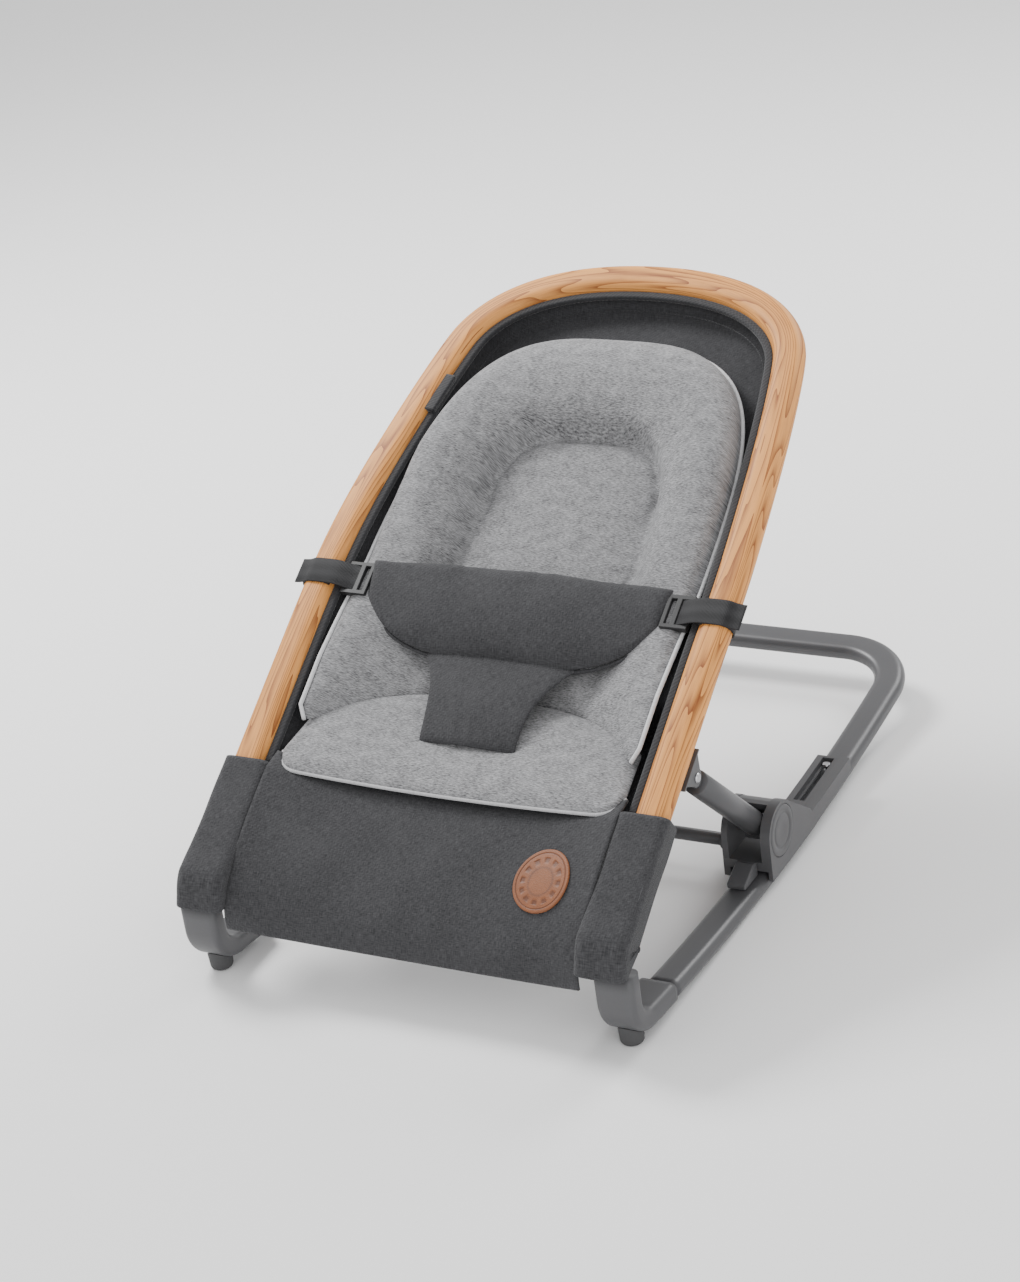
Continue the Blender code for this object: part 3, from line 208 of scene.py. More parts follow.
# The satin coating and all moulded plastic share one fine surface: a mottled colour and a
# shallow grain, from two sizes of noise on the piece's own coordinates.
def new_group(name, inputs, outputs):
    """A shader node group with named sockets; inputs are (name, kind, default)."""
    group = bpy.data.node_groups.new(name, "ShaderNodeTree")
    for label, kind, default in inputs:
        socket = group.interface.new_socket(name=label, in_out="INPUT", socket_type=kind)
        if default is not None:
            socket.default_value = default
    for label, kind in outputs:
        group.interface.new_socket(name=label, in_out="OUTPUT", socket_type=kind)
    return group, group.nodes.new("NodeGroupInput"), group.nodes.new("NodeGroupOutput")


def add(tree, kind, links=(), **settings):
    """Adds a node, sets its properties, then fills its inputs with values or other sockets."""
    made = tree.nodes.new(kind)
    for key, value in settings.items():
        setattr(made, key, value)
    for key, value in dict(links).items():
        if isinstance(value, bpy.types.NodeSocket):
            tree.links.new(value, made.inputs[key])
        else:
            made.inputs[key].default_value = value
    return made


def maths(tree, operation, first, second=None, third=None):
    """One maths node's result."""
    given = {i: v for i, v in enumerate((first, second, third)) if v is not None}
    return add(tree, "ShaderNodeMath", given, operation=operation).outputs[0]


VALUE, COLOUR, VECTOR = "NodeSocketFloat", "NodeSocketColor", "NodeSocketVector"
moulded, m_in, m_out = new_group(
    "moulded_skin",
    [("Vector", VECTOR, None), ("Colour", COLOUR, (0.1, 0.1, 0.1, 1)), ("Mottle", VALUE, 0.12),
     ("Grain size", VALUE, 1600.0)],
    [("Colour", COLOUR), ("Roughness shift", VALUE), ("Height", VALUE)])
broad = add(moulded, "ShaderNodeTexNoise", {"Vector": m_in.outputs["Vector"], "Scale": 28.0, "Detail": 4.0})
fine = add(moulded, "ShaderNodeTexNoise", {"Vector": m_in.outputs["Vector"],
                                           "Scale": m_in.outputs["Grain size"], "Detail": 2.0})
swing = maths(moulded, "MULTIPLY", maths(moulded, "SUBTRACT", broad.outputs[0], 0.5), m_in.outputs["Mottle"])
gain = maths(moulded, "ADD", 1.0, swing)
gain = maths(moulded, "MULTIPLY_ADD", maths(moulded, "SUBTRACT", fine.outputs[0], 0.5), 0.22, gain)
scaled = add(moulded, "ShaderNodeVectorMath", {0: m_in.outputs["Colour"], "Scale": gain}, operation="SCALE")
moulded.links.new(scaled.outputs[0], m_out.inputs["Colour"])
moulded.links.new(maths(moulded, "MULTIPLY", swing, 0.9), m_out.inputs["Roughness shift"])
moulded.links.new(fine.outputs[0], m_out.inputs["Height"])


def new_material(name):
    """An empty Principled material and its tree."""
    look = bpy.data.materials.new(name)
    look.use_nodes = True
    return look, look.node_tree, look.node_tree.nodes["Principled BSDF"]


def give(target, values):
    """Sets a node's inputs by name."""
    for label, value in values.items():
        target.inputs[label].default_value = value


def roughen(tree, shader, height, strength, depth):
    """Gives a surface the relief of a height, without moving it."""
    bump = add(tree, "ShaderNodeBump", {"Height": height, "Strength": strength, "Distance": depth})
    tree.links.new(bump.outputs[0], shader.inputs["Normal"])


def moulded_material(name, colour, roughness, metallic=0.0, mottle=0.12, depth=0.00006, grain=1600.0):
    """Coated or moulded surface: satin, faintly mottled, with a shallow grain."""
    look, tree, shader = new_material(name)
    place = add(tree, "ShaderNodeTexCoord").outputs["Object"]
    skin = add(tree, "ShaderNodeGroup", node_tree=moulded)
    tree.links.new(place, skin.inputs["Vector"])
    give(skin, {"Colour": (*colour, 1), "Mottle": mottle, "Grain size": grain})
    tree.links.new(skin.outputs["Colour"], shader.inputs["Base Color"])
    rough = maths(tree, "ADD", skin.outputs["Roughness shift"], roughness)
    tree.links.new(rough, shader.inputs["Roughness"])
    roughen(tree, shader, skin.outputs["Height"], 0.5, depth)
    shader.inputs["Metallic"].default_value = metallic
    return look


coated_steel = moulded_material("coated_steel", (0.075, 0.075, 0.079), 0.38, 0.15, 0.08)


def settle(piece, look, body, slot, *stands_for):
    """Gives a finished piece its material and its body, and hides the nodes that it stands for."""
    piece.data.materials.append(look)
    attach(piece, body)
    if stands_for:
        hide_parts(*stands_for)
    return piece


settle(rocker_tube, coated_steel, "base", "coated_steel", "base_tube")


# ==== Front mouldings ====
# Each rail ends in a nylon moulding that curls up to the front hinge: a flat band 36 mm wide
# with soft edges, carried round a quarter circle and up to the hinge. The spigot and tongue at
# its ends are out of sight and are left out.
FRONT_X = 0.2015
BEND_W = 0.036
BEND_T = 0.019
BEND_R = 0.027
BEND_Y = 0.023 - SHIFT
SEATING = 0.0003          # gap between pieces that touch
HINGE = np.array([0.0, -0.002 - SHIFT, 0.092])
NECK_TOP = HINGE[2] - 0.0175
dark_plastic = moulded_material("dark_plastic", (0.072, 0.072, 0.076), 0.46, 0.0, 0.14, 0.0001, 1100.0)


def soft_rectangle(width, height, radius, count=7):
    """Rectangle with rounded corners, as (across, up) pairs."""
    quarter = np.linspace(0, np.pi / 2, count)
    arcs = []
    for k, (cx, cy) in enumerate(((1, 1), (-1, 1), (-1, -1), (1, -1))):
        angle = quarter + k * np.pi / 2
        arcs.append(np.stack([cx * (width / 2 - radius) + radius * np.cos(angle),
                              cy * (height / 2 - radius) + radius * np.sin(angle)], 1))
    return np.vstack(arcs)


bend_z = rail_height(BEND_Y) + BEND_R
lead_y = np.linspace(RAIL_START - SEATING, BEND_Y, 12)[:-1]
half_turn = np.linspace(-np.pi / 2, -np.pi, 30)
bend_line = np.vstack([np.stack([lead_y, rail_height(lead_y)], 1),
                       np.stack([BEND_Y + BEND_R * np.cos(half_turn),
                                 bend_z + BEND_R * np.sin(half_turn)], 1),
                       [[BEND_Y - BEND_R, (bend_z + NECK_TOP) / 2], [BEND_Y - BEND_R, NECK_TOP]]])
bend_along = unit(np.gradient(bend_line, axis=0))
for side, sign in (("left", -1), ("right", 1)):
    count = len(bend_line)
    line = np.column_stack([np.full(count, sign * FRONT_X), bend_line])
    out = np.column_stack([np.zeros(count), bend_along[:, 1], -bend_along[:, 0]])
    piece = sweep(f"front_moulding_{side}", line, np.tile([1.0, 0, 0], (count, 1)), out,
                  soft_rectangle(BEND_W, BEND_T, 0.0062))
    settle(piece, dark_plastic, "base", "dark_plastic", f"front_bend_{side}")


# ==== Struts and cross bar ====
# Plain round tubes in the same coating as the base. The struts reach from the lugs under the
# legs down to the hubs; the bar ties the two hubs so that both sides fold together.
def round_rod(name, start, end, radius, sides=40):
    """Straight round bar with a slightly eased end: circles carried from start to end."""
    start, end = np.asarray(start, float), np.asarray(end, float)
    along = unit(end - start)
    side = unit(np.cross(along, [0.0, 0.3, 1.0]))
    angle = np.linspace(0, 2 * np.pi, sides, endpoint=False)
    ease = 0.0006
    length = np.linalg.norm(end - start)
    stations = np.array([0, ease, length / 2, length - ease, length])
    size = np.array([radius - ease, radius, radius, radius, radius - ease])
    ring = np.cos(angle)[:, None] * side + np.sin(angle)[:, None] * np.cross(along, side)
    points = start + stations[:, None, None] * along + size[:, None, None] * ring[None]
    faces = grid_faces(5, sides, wrap=True) + [list(range(sides)), list(range(4 * sides, 5 * sides))]
    return outwards(mesh_piece(name, points, faces))


STRUT_X = 0.2030
STRUT_R = 0.011
STRUT_TOP = np.array([0.0, 0.157 - SHIFT, 0.167])
HUB = np.array([0.0, 0.280 - SHIFT, 0.048])
strut_dir = unit(HUB - STRUT_TOP)
for side, sign in (("left", -1), ("right", 1)):
    offset = np.array([sign * STRUT_X, 0, 0])
    piece = round_rod(f"strut_tube_{side}", STRUT_TOP + offset + 0.017 * strut_dir,
                      HUB + offset - 0.012 * strut_dir, STRUT_R)
    settle(piece, coated_steel, "struts", "coated_steel", f"strut_{side}")
bar_low, bar_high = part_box("cross_bar")
bar_centre = (bar_low + bar_high) / 2
piece = round_rod("tie_bar", (bar_low.x, bar_centre.y, bar_centre.z),
                  (bar_high.x, bar_centre.y, bar_centre.z), (bar_high.z - bar_low.z) / 2)
settle(piece, coated_steel, "carriage", "coated_steel", "cross_bar")


# ==== Moulded fittings and small metal parts ====
# Hubs, clips, eyes, lugs, collars and buckles are moulded nylon with eased edges, and the pins
# are plated steel. Their solids are right as they are: each is copied, merged and edge-rounded.
SHARP = np.radians(32)


def eased_copy(name, source, width):
    """Merged copy of a solid with its flat faces rejoined and its edges rounded."""
    bm = bmesh.new()
    bm.from_mesh(node[source].data)
    bmesh.ops.remove_doubles(bm, verts=bm.verts, dist=0.00002)
    bmesh.ops.dissolve_limit(bm, angle_limit=np.radians(0.8), verts=bm.verts, edges=bm.edges)
    mesh = bpy.data.meshes.new(name)
    bm.to_mesh(mesh)
    bm.free()
    mesh.shade_smooth()
    mesh.set_sharp_from_angle(angle=SHARP)
    piece = bpy.data.objects.new(name, mesh)
    bpy.context.scene.collection.objects.link(piece)
    bevel = piece.modifiers.new("eased", "BEVEL")
    bevel.width = width
    bevel.segments = 2
    bevel.limit_method = "ANGLE"
    bevel.angle_limit = SHARP
    bevel.harden_normals = True
    return piece


black_plastic = moulded_material("black_plastic", (0.014, 0.014, 0.015), 0.50, 0.0, 0.14, 0.0001, 1100.0)
bright_steel = moulded_material("bright_steel", (0.50, 0.50, 0.52), 0.32, 1.0, 0.2, 0.00003, 2200.0)
black_rubber = moulded_material("black_rubber", (0.060, 0.060, 0.062), 0.75, 0.0, 0.3, 0.0002, 900.0)
FITTINGS = {
    "hub_housing": ("carriage", dark_plastic, "dark_plastic", 0.0007),
    "hub_pin": ("carriage", bright_steel, "bright_steel", 0.0002),
    "bar_collar": ("carriage", dark_plastic, "dark_plastic", 0.0004),
    "strut_eye": ("struts", dark_plastic, "dark_plastic", 0.0005),
    "strut_knuckle": ("struts", dark_plastic, "dark_plastic", 0.0006),
    "strut_bracket": ("seat", dark_plastic, "dark_plastic", 0.0004),
    "bracket_rivet": ("seat", bright_steel, "bright_steel", 0.0003),
    "leg_socket": ("seat", dark_plastic, "dark_plastic", 0.0005),
    "buckle": ("seat", black_plastic, "dark_plastic", 0.0007),
    "rail_stop": ("base", dark_plastic, "dark_plastic", 0.0004),
    "guide_rivet": ("base", bright_steel, "bright_steel", 0.0003),
    "front_pivot_pin": ("base", bright_steel, "bright_steel", 0.0003),
    "front_foot": ("base", black_rubber, "black_rubber", 0.0008),
}
for kind, (body, look, slot_name, ease) in FITTINGS.items():
    for side in ("left", "right"):
        piece = eased_copy(f"{kind}_eased_{side}", f"{kind}_{side}", ease)
        settle(piece, look, body, slot_name, f"{kind}_{side}")
piece = eased_copy("front_tie_tube", "front_cross_tube", 0.0002)
settle(piece, coated_steel, "seat", "coated_steel", "front_cross_tube")


# ==== Hub buttons ====
# A shallow turned cap is pressed in to release the fold. Its face is dished inside a narrow
# turned groove, and carries no sign.
def turned_face(name, centre, sign, profile, sides=96):
    """Solid of revolution about X: profile is (distance outwards, radius) pairs."""
    angle = np.linspace(0, 2 * np.pi, sides, endpoint=False)
    reach, radius = np.asarray(profile, float).T
    points = np.stack(np.broadcast_arrays(
        centre[0] + sign * reach[:, None], centre[1] + radius[:, None] * np.cos(angle),
        centre[2] + radius[:, None] * np.sin(angle)), -1)
    faces = grid_faces(len(reach), sides, wrap=True)
    faces += [list(range(sides)), list(range((len(reach) - 1) * sides, len(reach) * sides))]
    return outwards(mesh_piece(name, points, faces))


def disc_of(source):
    """A turned solid's inner centre, its thickness and its radii in Y and Z, from its box."""
    low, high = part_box(source)
    inner_x, outer_x = sorted((low.x, high.x), key=abs)
    centre = np.array([inner_x, (low.y + high.y) / 2, (low.z + high.z) / 2])
    return centre, abs(outer_x - inner_x), (high.y - low.y) / 2, (high.z - low.z) / 2


for side, sign in (("left", -1), ("right", 1)):
    centre, thick, rim, _ = disc_of(f"hub_button_{side}")
    profile = [(0, rim - 0.0004), (0.0003, rim), (thick - 0.0010, rim), (thick - 0.0003, rim - 0.0004),
               (thick, rim - 0.0012), (thick, 0.0175), (thick - 0.0004, 0.0171), (thick - 0.0007, 0.0162),
               (thick - 0.0007, 0.0152), (thick - 0.0003, 0.0146), (thick - 0.0001, 0.0138),
               (thick - 0.0008, 0.0070), (thick - 0.0010, 0.0005)]
    piece = turned_face(f"press_cap_{side}", centre, sign, profile)
    settle(piece, dark_plastic, f"button_{side}", "dark_plastic", f"hub_button_{side}")


# Behind each cap a flat coil of steel wire pushes it out again; it closes up as the cap goes in.
WIRE_R = 0.00045
COIL_TURNS = 1.75


def circle(count):
    """Points of a circle of radius one."""
    angle = np.linspace(0, 2 * np.pi, count, endpoint=False)
    return np.stack([np.cos(angle), np.sin(angle)], 1)


for side, sign in (("left", -1), ("right", 1)):
    centre, gap, _, coil_r = disc_of(f"button_spring_{side}")
    angle = np.linspace(0, COIL_TURNS * 2 * np.pi, 120)
    radial = np.column_stack([np.zeros(120), np.cos(angle), np.sin(angle)])
    centres = centre + (coil_r - WIRE_R) * radial
    centres[:, 0] = np.linspace(centre[0] + sign * WIRE_R, centre[0] + sign * (gap - WIRE_R), 120)
    piece = sweep(f"return_coil_{side}", centres, radial, np.tile([1.0, 0, 0], (120, 1)), WIRE_R * circle(8))
    settle(piece, bright_steel, "carriage", "bright_steel", f"button_spring_{side}")
    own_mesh(piece)


# ==== Bentwood bow ====
# Beech laminate bent to an arch, a flat oval about 30 by 20 mm, oiled. The figure is drawn as
# the contour lines of a field that is stretched along the bow, as flat-sawn beech shows it.
TILT_LOW, TILT_HIGH = np.radians(33.4), np.radians(26.6)
TILT_FROM, TILT_TO = 0.250, 0.450
LEG_X = 0.1968
BOW_W = 0.030
BOW_T = 0.0205
BOW_START = 0.045
BOW_PARALLEL = 0.322
BOW_SHOULDER = 0.6035
BOW_APEX = 0.6825
SHOULDER_X = LEG_X - 0.0316
LEAN = 0.3626

station = np.linspace(-0.10, 0.80, 1801)
ease = np.clip((station - TILT_FROM) / (TILT_TO - TILT_FROM), 0, 1)
slope = TILT_LOW + (TILT_HIGH - TILT_LOW) * ease
step = station[1] - station[0]
run_y = np.concatenate([[0], np.cumsum(np.cos((slope[1:] + slope[:-1]) / 2) * step)])
run_z = np.concatenate([[0], np.cumsum(np.sin((slope[1:] + slope[:-1]) / 2) * step)])
run_y += HINGE[1] - np.interp(0, station, run_y)
run_z += HINGE[2] - np.interp(0, station, run_z)


def on_seat(x, s, n):
    """Point x across, s up along the leg from the hinge, n above it, square to its slope."""
    x, s, n = np.broadcast_arrays(*(np.asarray(v, float) for v in (x, s, n)))
    angle = np.interp(s, station, slope)
    return np.stack([x, np.interp(s, station, run_y) - n * np.sin(angle),
                     np.interp(s, station, run_z) + n * np.cos(angle)], -1)


def cubic_at(t, p0, p1, p2, p3):
    """Cubic curve of four handles, weighted by the four terms of (1 - t + t) cubed."""
    p0, p1, p2, p3 = (np.asarray(p, float) for p in (p0, p1, p2, p3))
    return (1 - t) ** 3 * p0 + 3 * (1 - t) ** 2 * t * p1 + 3 * (1 - t) * t * t * p2 + t ** 3 * p3


def cubic(p0, p1, p2, p3, count):
    """Points of a cubic curve, from its first handle to its last."""
    return cubic_at(np.linspace(0, 1, count)[:, None], p0, p1, p2, p3)


def even(points, count):
    """The same open line with its points an equal way apart."""
    gone = run_length(points)
    wanted = np.linspace(0, gone[-1], count)
    return np.stack([np.interp(wanted, gone, points[:, k]) for k in range(points.shape[1])], 1)


shoulder = (SHOULDER_X, BOW_SHOULDER)
below = (SHOULDER_X + LEAN * 0.0286, BOW_SHOULDER - 0.0286)
above = (SHOULDER_X - LEAN * 0.0343, BOW_SHOULDER + 0.0343)
half_bow = np.vstack([[(LEG_X, BOW_START)],
                      cubic((LEG_X, BOW_PARALLEL), (LEG_X, BOW_PARALLEL + 0.0846), below, shoulder, 60),
                      cubic(shoulder, above, (0.679 * SHOULDER_X, BOW_APEX), (0, BOW_APEX), 60)[1:]])
bow_line = even(np.vstack([half_bow, half_bow[-2::-1] * (-1, 1)]), 360)
bow_along = unit(np.gradient(bow_line, axis=0))
bow_side = np.stack([bow_along[:, 1], -bow_along[:, 0]], 1)


def seat_sweep(name, line, section, lift=0.0):
    """Carries a section along a line of (x, s) stations, standing on the seat's slope."""
    centres = on_seat(line[:, 0], line[:, 1], lift)
    up = unit(on_seat(line[:, 0], line[:, 1], lift + 0.01) - centres)
    along = unit(np.gradient(centres, axis=0))
    across = unit(np.cross(along, up))
    return sweep(name, centres, across, np.cross(across, along), section)


bow = seat_sweep("bentwood_bow", bow_line, flat_oval(BOW_W, BOW_T, 16))


def blend_colour(tree, factor, first, second):
    """Colour between two, by factor."""
    mixed = add(tree, "ShaderNodeMix", {0: factor, 6: first, 7: second}, data_type="RGBA")
    return mixed.outputs[2]


def result(tree, output, colour, height):
    """Joins a group's colour and height to its output."""
    tree.links.new(colour, output.inputs["Colour"])
    tree.links.new(height, output.inputs["Height"])


def streaks(tree, source, scale, turn_by=0.0, detail=2.0, roughness=0.55):
    """Noise drawn out along one direction, by a scale for each axis."""
    place = add(tree, "ShaderNodeMapping", {"Vector": source, "Scale": scale, "Rotation": (0, 0, turn_by)})
    return add(tree, "ShaderNodeTexNoise", {"Vector": place.outputs[0], "Scale": 1.0, "Detail": detail,
                                            "Roughness": roughness}).outputs[0]


def clamped(tree, value):
    """A value kept between nought and one."""
    return add(tree, "ShaderNodeClamp", {"Value": value}).outputs[0]


grain, g_in, g_out = new_group(
    "wood_figure",
    [("Vector", VECTOR, None), ("Early", COLOUR, (0.7, 0.4, 0.2, 1)), ("Late", COLOUR, (0.5, 0.25, 0.1, 1))],
    [("Colour", COLOUR), ("Height", VALUE)])
on_wood = g_in.outputs["Vector"]
field = streaks(grain, on_wood, (46.0, 2.6, 1.0), detail=1.5, roughness=0.45)
rings = maths(grain, "FRACT", maths(grain, "MULTIPLY", field, 17.0))
lines = maths(grain, "POWER", rings, 3.0)
pores = streaks(grain, on_wood, (1500.0, 45.0, 1.0), detail=3.0, roughness=0.5)
cloud = streaks(grain, on_wood, (60.0, 9.0, 1.0), detail=4.0, roughness=0.5)
flecks = maths(grain, "MULTIPLY", maths(grain, "SUBTRACT", pores, 0.42), 0.85)
dark = maths(grain, "MULTIPLY_ADD", lines, 0.85, flecks)
patches = maths(grain, "SUBTRACT", cloud, 0.5)
dark = maths(grain, "ADD", dark, maths(grain, "MULTIPLY", patches, 0.7))
dark = clamped(grain, dark)
result(grain, g_out, blend_colour(grain, dark, g_in.outputs["Early"], g_in.outputs["Late"]),
       maths(grain, "SUBTRACT", pores, maths(grain, "MULTIPLY", lines, 0.3)))

beech, tree, shader = new_material("oiled_beech")
figure = add(tree, "ShaderNodeGroup", node_tree=grain)
tree.links.new(add(tree, "ShaderNodeUVMap", uv_map="cut").outputs[0], figure.inputs["Vector"])
give(figure, {"Early": (0.780, 0.340, 0.085, 1), "Late": (0.230, 0.060, 0.010, 1)})
tree.links.new(figure.outputs["Colour"], shader.inputs["Base Color"])
roughen(tree, shader, figure.outputs["Height"], 0.35, 0.0002)
give(shader, {"Roughness": 0.55, "Specular IOR Level": 0.35})
settle(bow, beech, "seat", "beech", "seat_bow")


# ==== Cloths ====
# Two cloths dress the seat: a marled grey jersey with short pale and dark streaks, and a
# charcoal canvas whose crossed threads are flecked by their own dye.
jersey, j_in, j_out = new_group(
    "marled_jersey",
    [("Vector", VECTOR, None), ("Dark", COLOUR, (0.12, 0.12, 0.12, 1)), ("Pale", COLOUR, (0.5, 0.5, 0.5, 1))],
    [("Colour", COLOUR), ("Height", VALUE)])


on_jersey = j_in.outputs["Vector"]
long_fleck = streaks(jersey, on_jersey, (230.0, 1300.0, 1.0), 0.35)
short_fleck = streaks(jersey, on_jersey, (480.0, 1700.0, 1.0), -0.25)
blotch = streaks(jersey, on_jersey, (60.0, 110.0, 1.0), 0.0, 3.0)
tone = maths(jersey, "MULTIPLY_ADD", long_fleck, 1.55, maths(jersey, "MULTIPLY", short_fleck, 0.95))
tone = maths(jersey, "SUBTRACT", maths(jersey, "MULTIPLY_ADD", blotch, 0.55, tone), 1.03)
tone = clamped(jersey, tone)
wales = streaks(jersey, on_jersey, (900.0, 1100.0, 1.0), 0.0)
result(jersey, j_out, blend_colour(jersey, tone, j_in.outputs["Dark"], j_in.outputs["Pale"]),
       maths(jersey, "MULTIPLY_ADD", wales, 0.6, tone))

canvas, c_in, c_out = new_group(
    "crossed_threads",
    [("Vector", VECTOR, None), ("Dark", COLOUR, (0.05, 0.05, 0.05, 1)), ("Pale", COLOUR, (0.1, 0.1, 0.1, 1)),
     ("Thread", VALUE, 1500.0)],
    [("Colour", COLOUR), ("Height", VALUE)])
on_canvas = c_in.outputs["Vector"]
warp = streaks(canvas, on_canvas, (1500.0, 160.0, 1.0), 0.0)
weft = streaks(canvas, on_canvas, (160.0, 1500.0, 1.0), 0.0)
crossing = maths(canvas, "MULTIPLY_ADD", maths(canvas, "ADD", warp, weft), 1.5, -1.0)
wash = streaks(canvas, on_canvas, (22.0, 22.0, 1.0), 0.0, 3.0)
uneven = maths(canvas, "MULTIPLY", maths(canvas, "SUBTRACT", wash, 0.5), 0.5)
crossing = maths(canvas, "ADD", crossing, uneven)
crossing = clamped(canvas, crossing)
axes_of = add(canvas, "ShaderNodeSeparateXYZ", {0: on_canvas})
thread_x = maths(canvas, "SINE", maths(canvas, "MULTIPLY", axes_of.outputs[0], c_in.outputs["Thread"]))
thread_y = maths(canvas, "SINE", maths(canvas, "MULTIPLY", axes_of.outputs[1], c_in.outputs["Thread"]))
result(canvas, c_out, blend_colour(canvas, crossing, c_in.outputs["Dark"], c_in.outputs["Pale"]),
       maths(canvas, "MULTIPLY_ADD", thread_x, thread_y, crossing))


def cloth_material(name, group, dark_tone, pale_tone, roughness, depth, sheen):
    """Cloth read from its own flat cut, with a soft nap."""
    look, tree, shader = new_material(name)
    weave = add(tree, "ShaderNodeGroup", node_tree=group)
    tree.links.new(add(tree, "ShaderNodeUVMap", uv_map="cut").outputs[0], weave.inputs["Vector"])
    give(weave, {"Dark": (*dark_tone, 1), "Pale": (*pale_tone, 1)})
    tree.links.new(weave.outputs["Colour"], shader.inputs["Base Color"])
    roughen(tree, shader, weave.outputs["Height"], 0.6, depth)
    give(shader, {"Roughness": roughness, "Sheen Weight": sheen, "Sheen Roughness": 0.5,
                  "Specular IOR Level": 0.2})
    return look


CLOTHS = {
    "grey_jersey": (jersey, (0.036, 0.036, 0.038), (0.44, 0.44, 0.45), 0.92, 0.00030, 0.1),
    "charcoal_canvas": (canvas, (0.022, 0.022, 0.024), (0.072, 0.072, 0.076), 0.88, 0.00018, 0.08),
    "shell_canvas": (canvas, (0.024, 0.024, 0.026), (0.062, 0.062, 0.066), 0.88, 0.00015, 0.08),
    "pale_piping": (canvas, (0.52, 0.52, 0.53), (0.74, 0.74, 0.75), 0.8, 0.0001, 0.25),
    "grey_piping": (canvas, (0.36, 0.36, 0.37), (0.52, 0.52, 0.53), 0.8, 0.0001, 0.25),
    "black_binding": (canvas, (0.016, 0.016, 0.018), (0.036, 0.036, 0.039), 0.7, 0.0002, 0.25),
}
cloth = {name: cloth_material(name, *look) for name, look in CLOTHS.items()}


# ==== Padded parts: how they are cut and filled ====
# Each pad is two cloths sewn round their rim over a filling. The upper cloth is a patch drawn
# between four edges. On the liner, the cushion and the flap a cloth simulation then blows the
# upper cloth up between its seams, which stay held.
def patch(front, rear, left, right):
    """Coons patch: straight blends between opposite edges, less the blend of their corners."""
    u = np.linspace(0, 1, len(front))[None, :, None]
    v = np.linspace(0, 1, len(left))[:, None, None]
    sides = (1 - v) * front[None] + v * rear[None] + (1 - u) * left[:, None] + u * right[:, None]
    ends = (1 - u) * (1 - v) * front[0] + u * (1 - v) * front[-1] + (1 - u) * v * rear[0] + u * v * rear[-1]
    return sides - ends


def rim_distance(plan):
    """How far each point of a patch lies from its rim: the least of the four lengths run to its
    edges, along its rows and columns."""
    nearest = []
    for axis, room in ((0, ((1, 0), (0, 0))), (1, ((0, 0), (1, 0)))):
        steps = np.linalg.norm(np.diff(plan, axis=axis), axis=-1)
        behind = np.pad(np.cumsum(steps, axis=axis), room)
        whole = np.take(behind, [-1], axis=axis)
        nearest.append(np.minimum(behind, whole - behind))
    return np.minimum(*nearest)


def two_faced(name, upper, lower, cut):
    """Closed piece of two grids of points, joined round their rims by a strip of quads."""
    rows, cols = upper.shape[:2]
    total = rows * cols
    low_side = np.arange(cols)
    right_side = np.arange(1, rows) * cols + cols - 1
    top_side = (rows - 1) * cols + np.arange(cols - 2, -1, -1)
    left_side = np.arange(rows - 2, 0, -1) * cols
    ring = np.concatenate([low_side, right_side, top_side, left_side])
    after = np.roll(ring, -1)
    faces = grid_faces(rows, cols) + grid_faces(rows, cols, start=total, flip=True)
    faces += np.stack([ring, ring + total, after + total, after], 1).tolist()
    points = np.concatenate([upper.reshape(-1, 3), lower.reshape(-1, 3)])
    return outwards(mesh_piece(name, points, faces, np.concatenate([cut.reshape(-1, 2)] * 2)))


def pad_piece(name, plan, height, thick, edge=0.012, rim=0.0010, bed=None):
    """Closed pad over a plan of (x, s) points: height(x, s) is its face, thick its filling, and
    near the rim both cloths draw together as a quarter ellipse, edge wide. Its underside
    never sinks below bed(x, s), where that is given."""
    x, s = plan[..., 0], plan[..., 1]
    close = np.clip(rim_distance(plan) / edge, 0, 1)
    belly = rim + (thick - rim) * np.sqrt(1 - (1 - close) ** 2)
    face = height(x, s)
    upper_n = face - 0.35 * (thick - belly)
    lower_n = upper_n - belly
    if bed is not None:
        lower_n = np.minimum(np.maximum(lower_n, bed(x, s)), upper_n - rim)
    upper, lower = on_seat(x, s, upper_n), on_seat(x, s, lower_n)
    return two_faced(name, upper, lower, plan)


CLOTH_SETTINGS = {
    "quality": 6, "mass": 0.25, "tension_stiffness": 8.0, "compression_stiffness": 8.0,
    "shear_stiffness": 4.0, "bending_stiffness": 0.6,
}


def coordinates(mesh):
    """Every vertex of a mesh, as an (n, 3) array."""
    flat = np.zeros(len(mesh.vertices) * 3, np.float32)
    mesh.vertices.foreach_get("co", flat)
    return flat.reshape(-1, 3).astype(float)


def subdivide(piece):
    """Rounds a piece by one subdivision."""
    smooth = piece.modifiers.new("smooth", "SUBSURF")
    smooth.levels = 1
    smooth.render_levels = 1


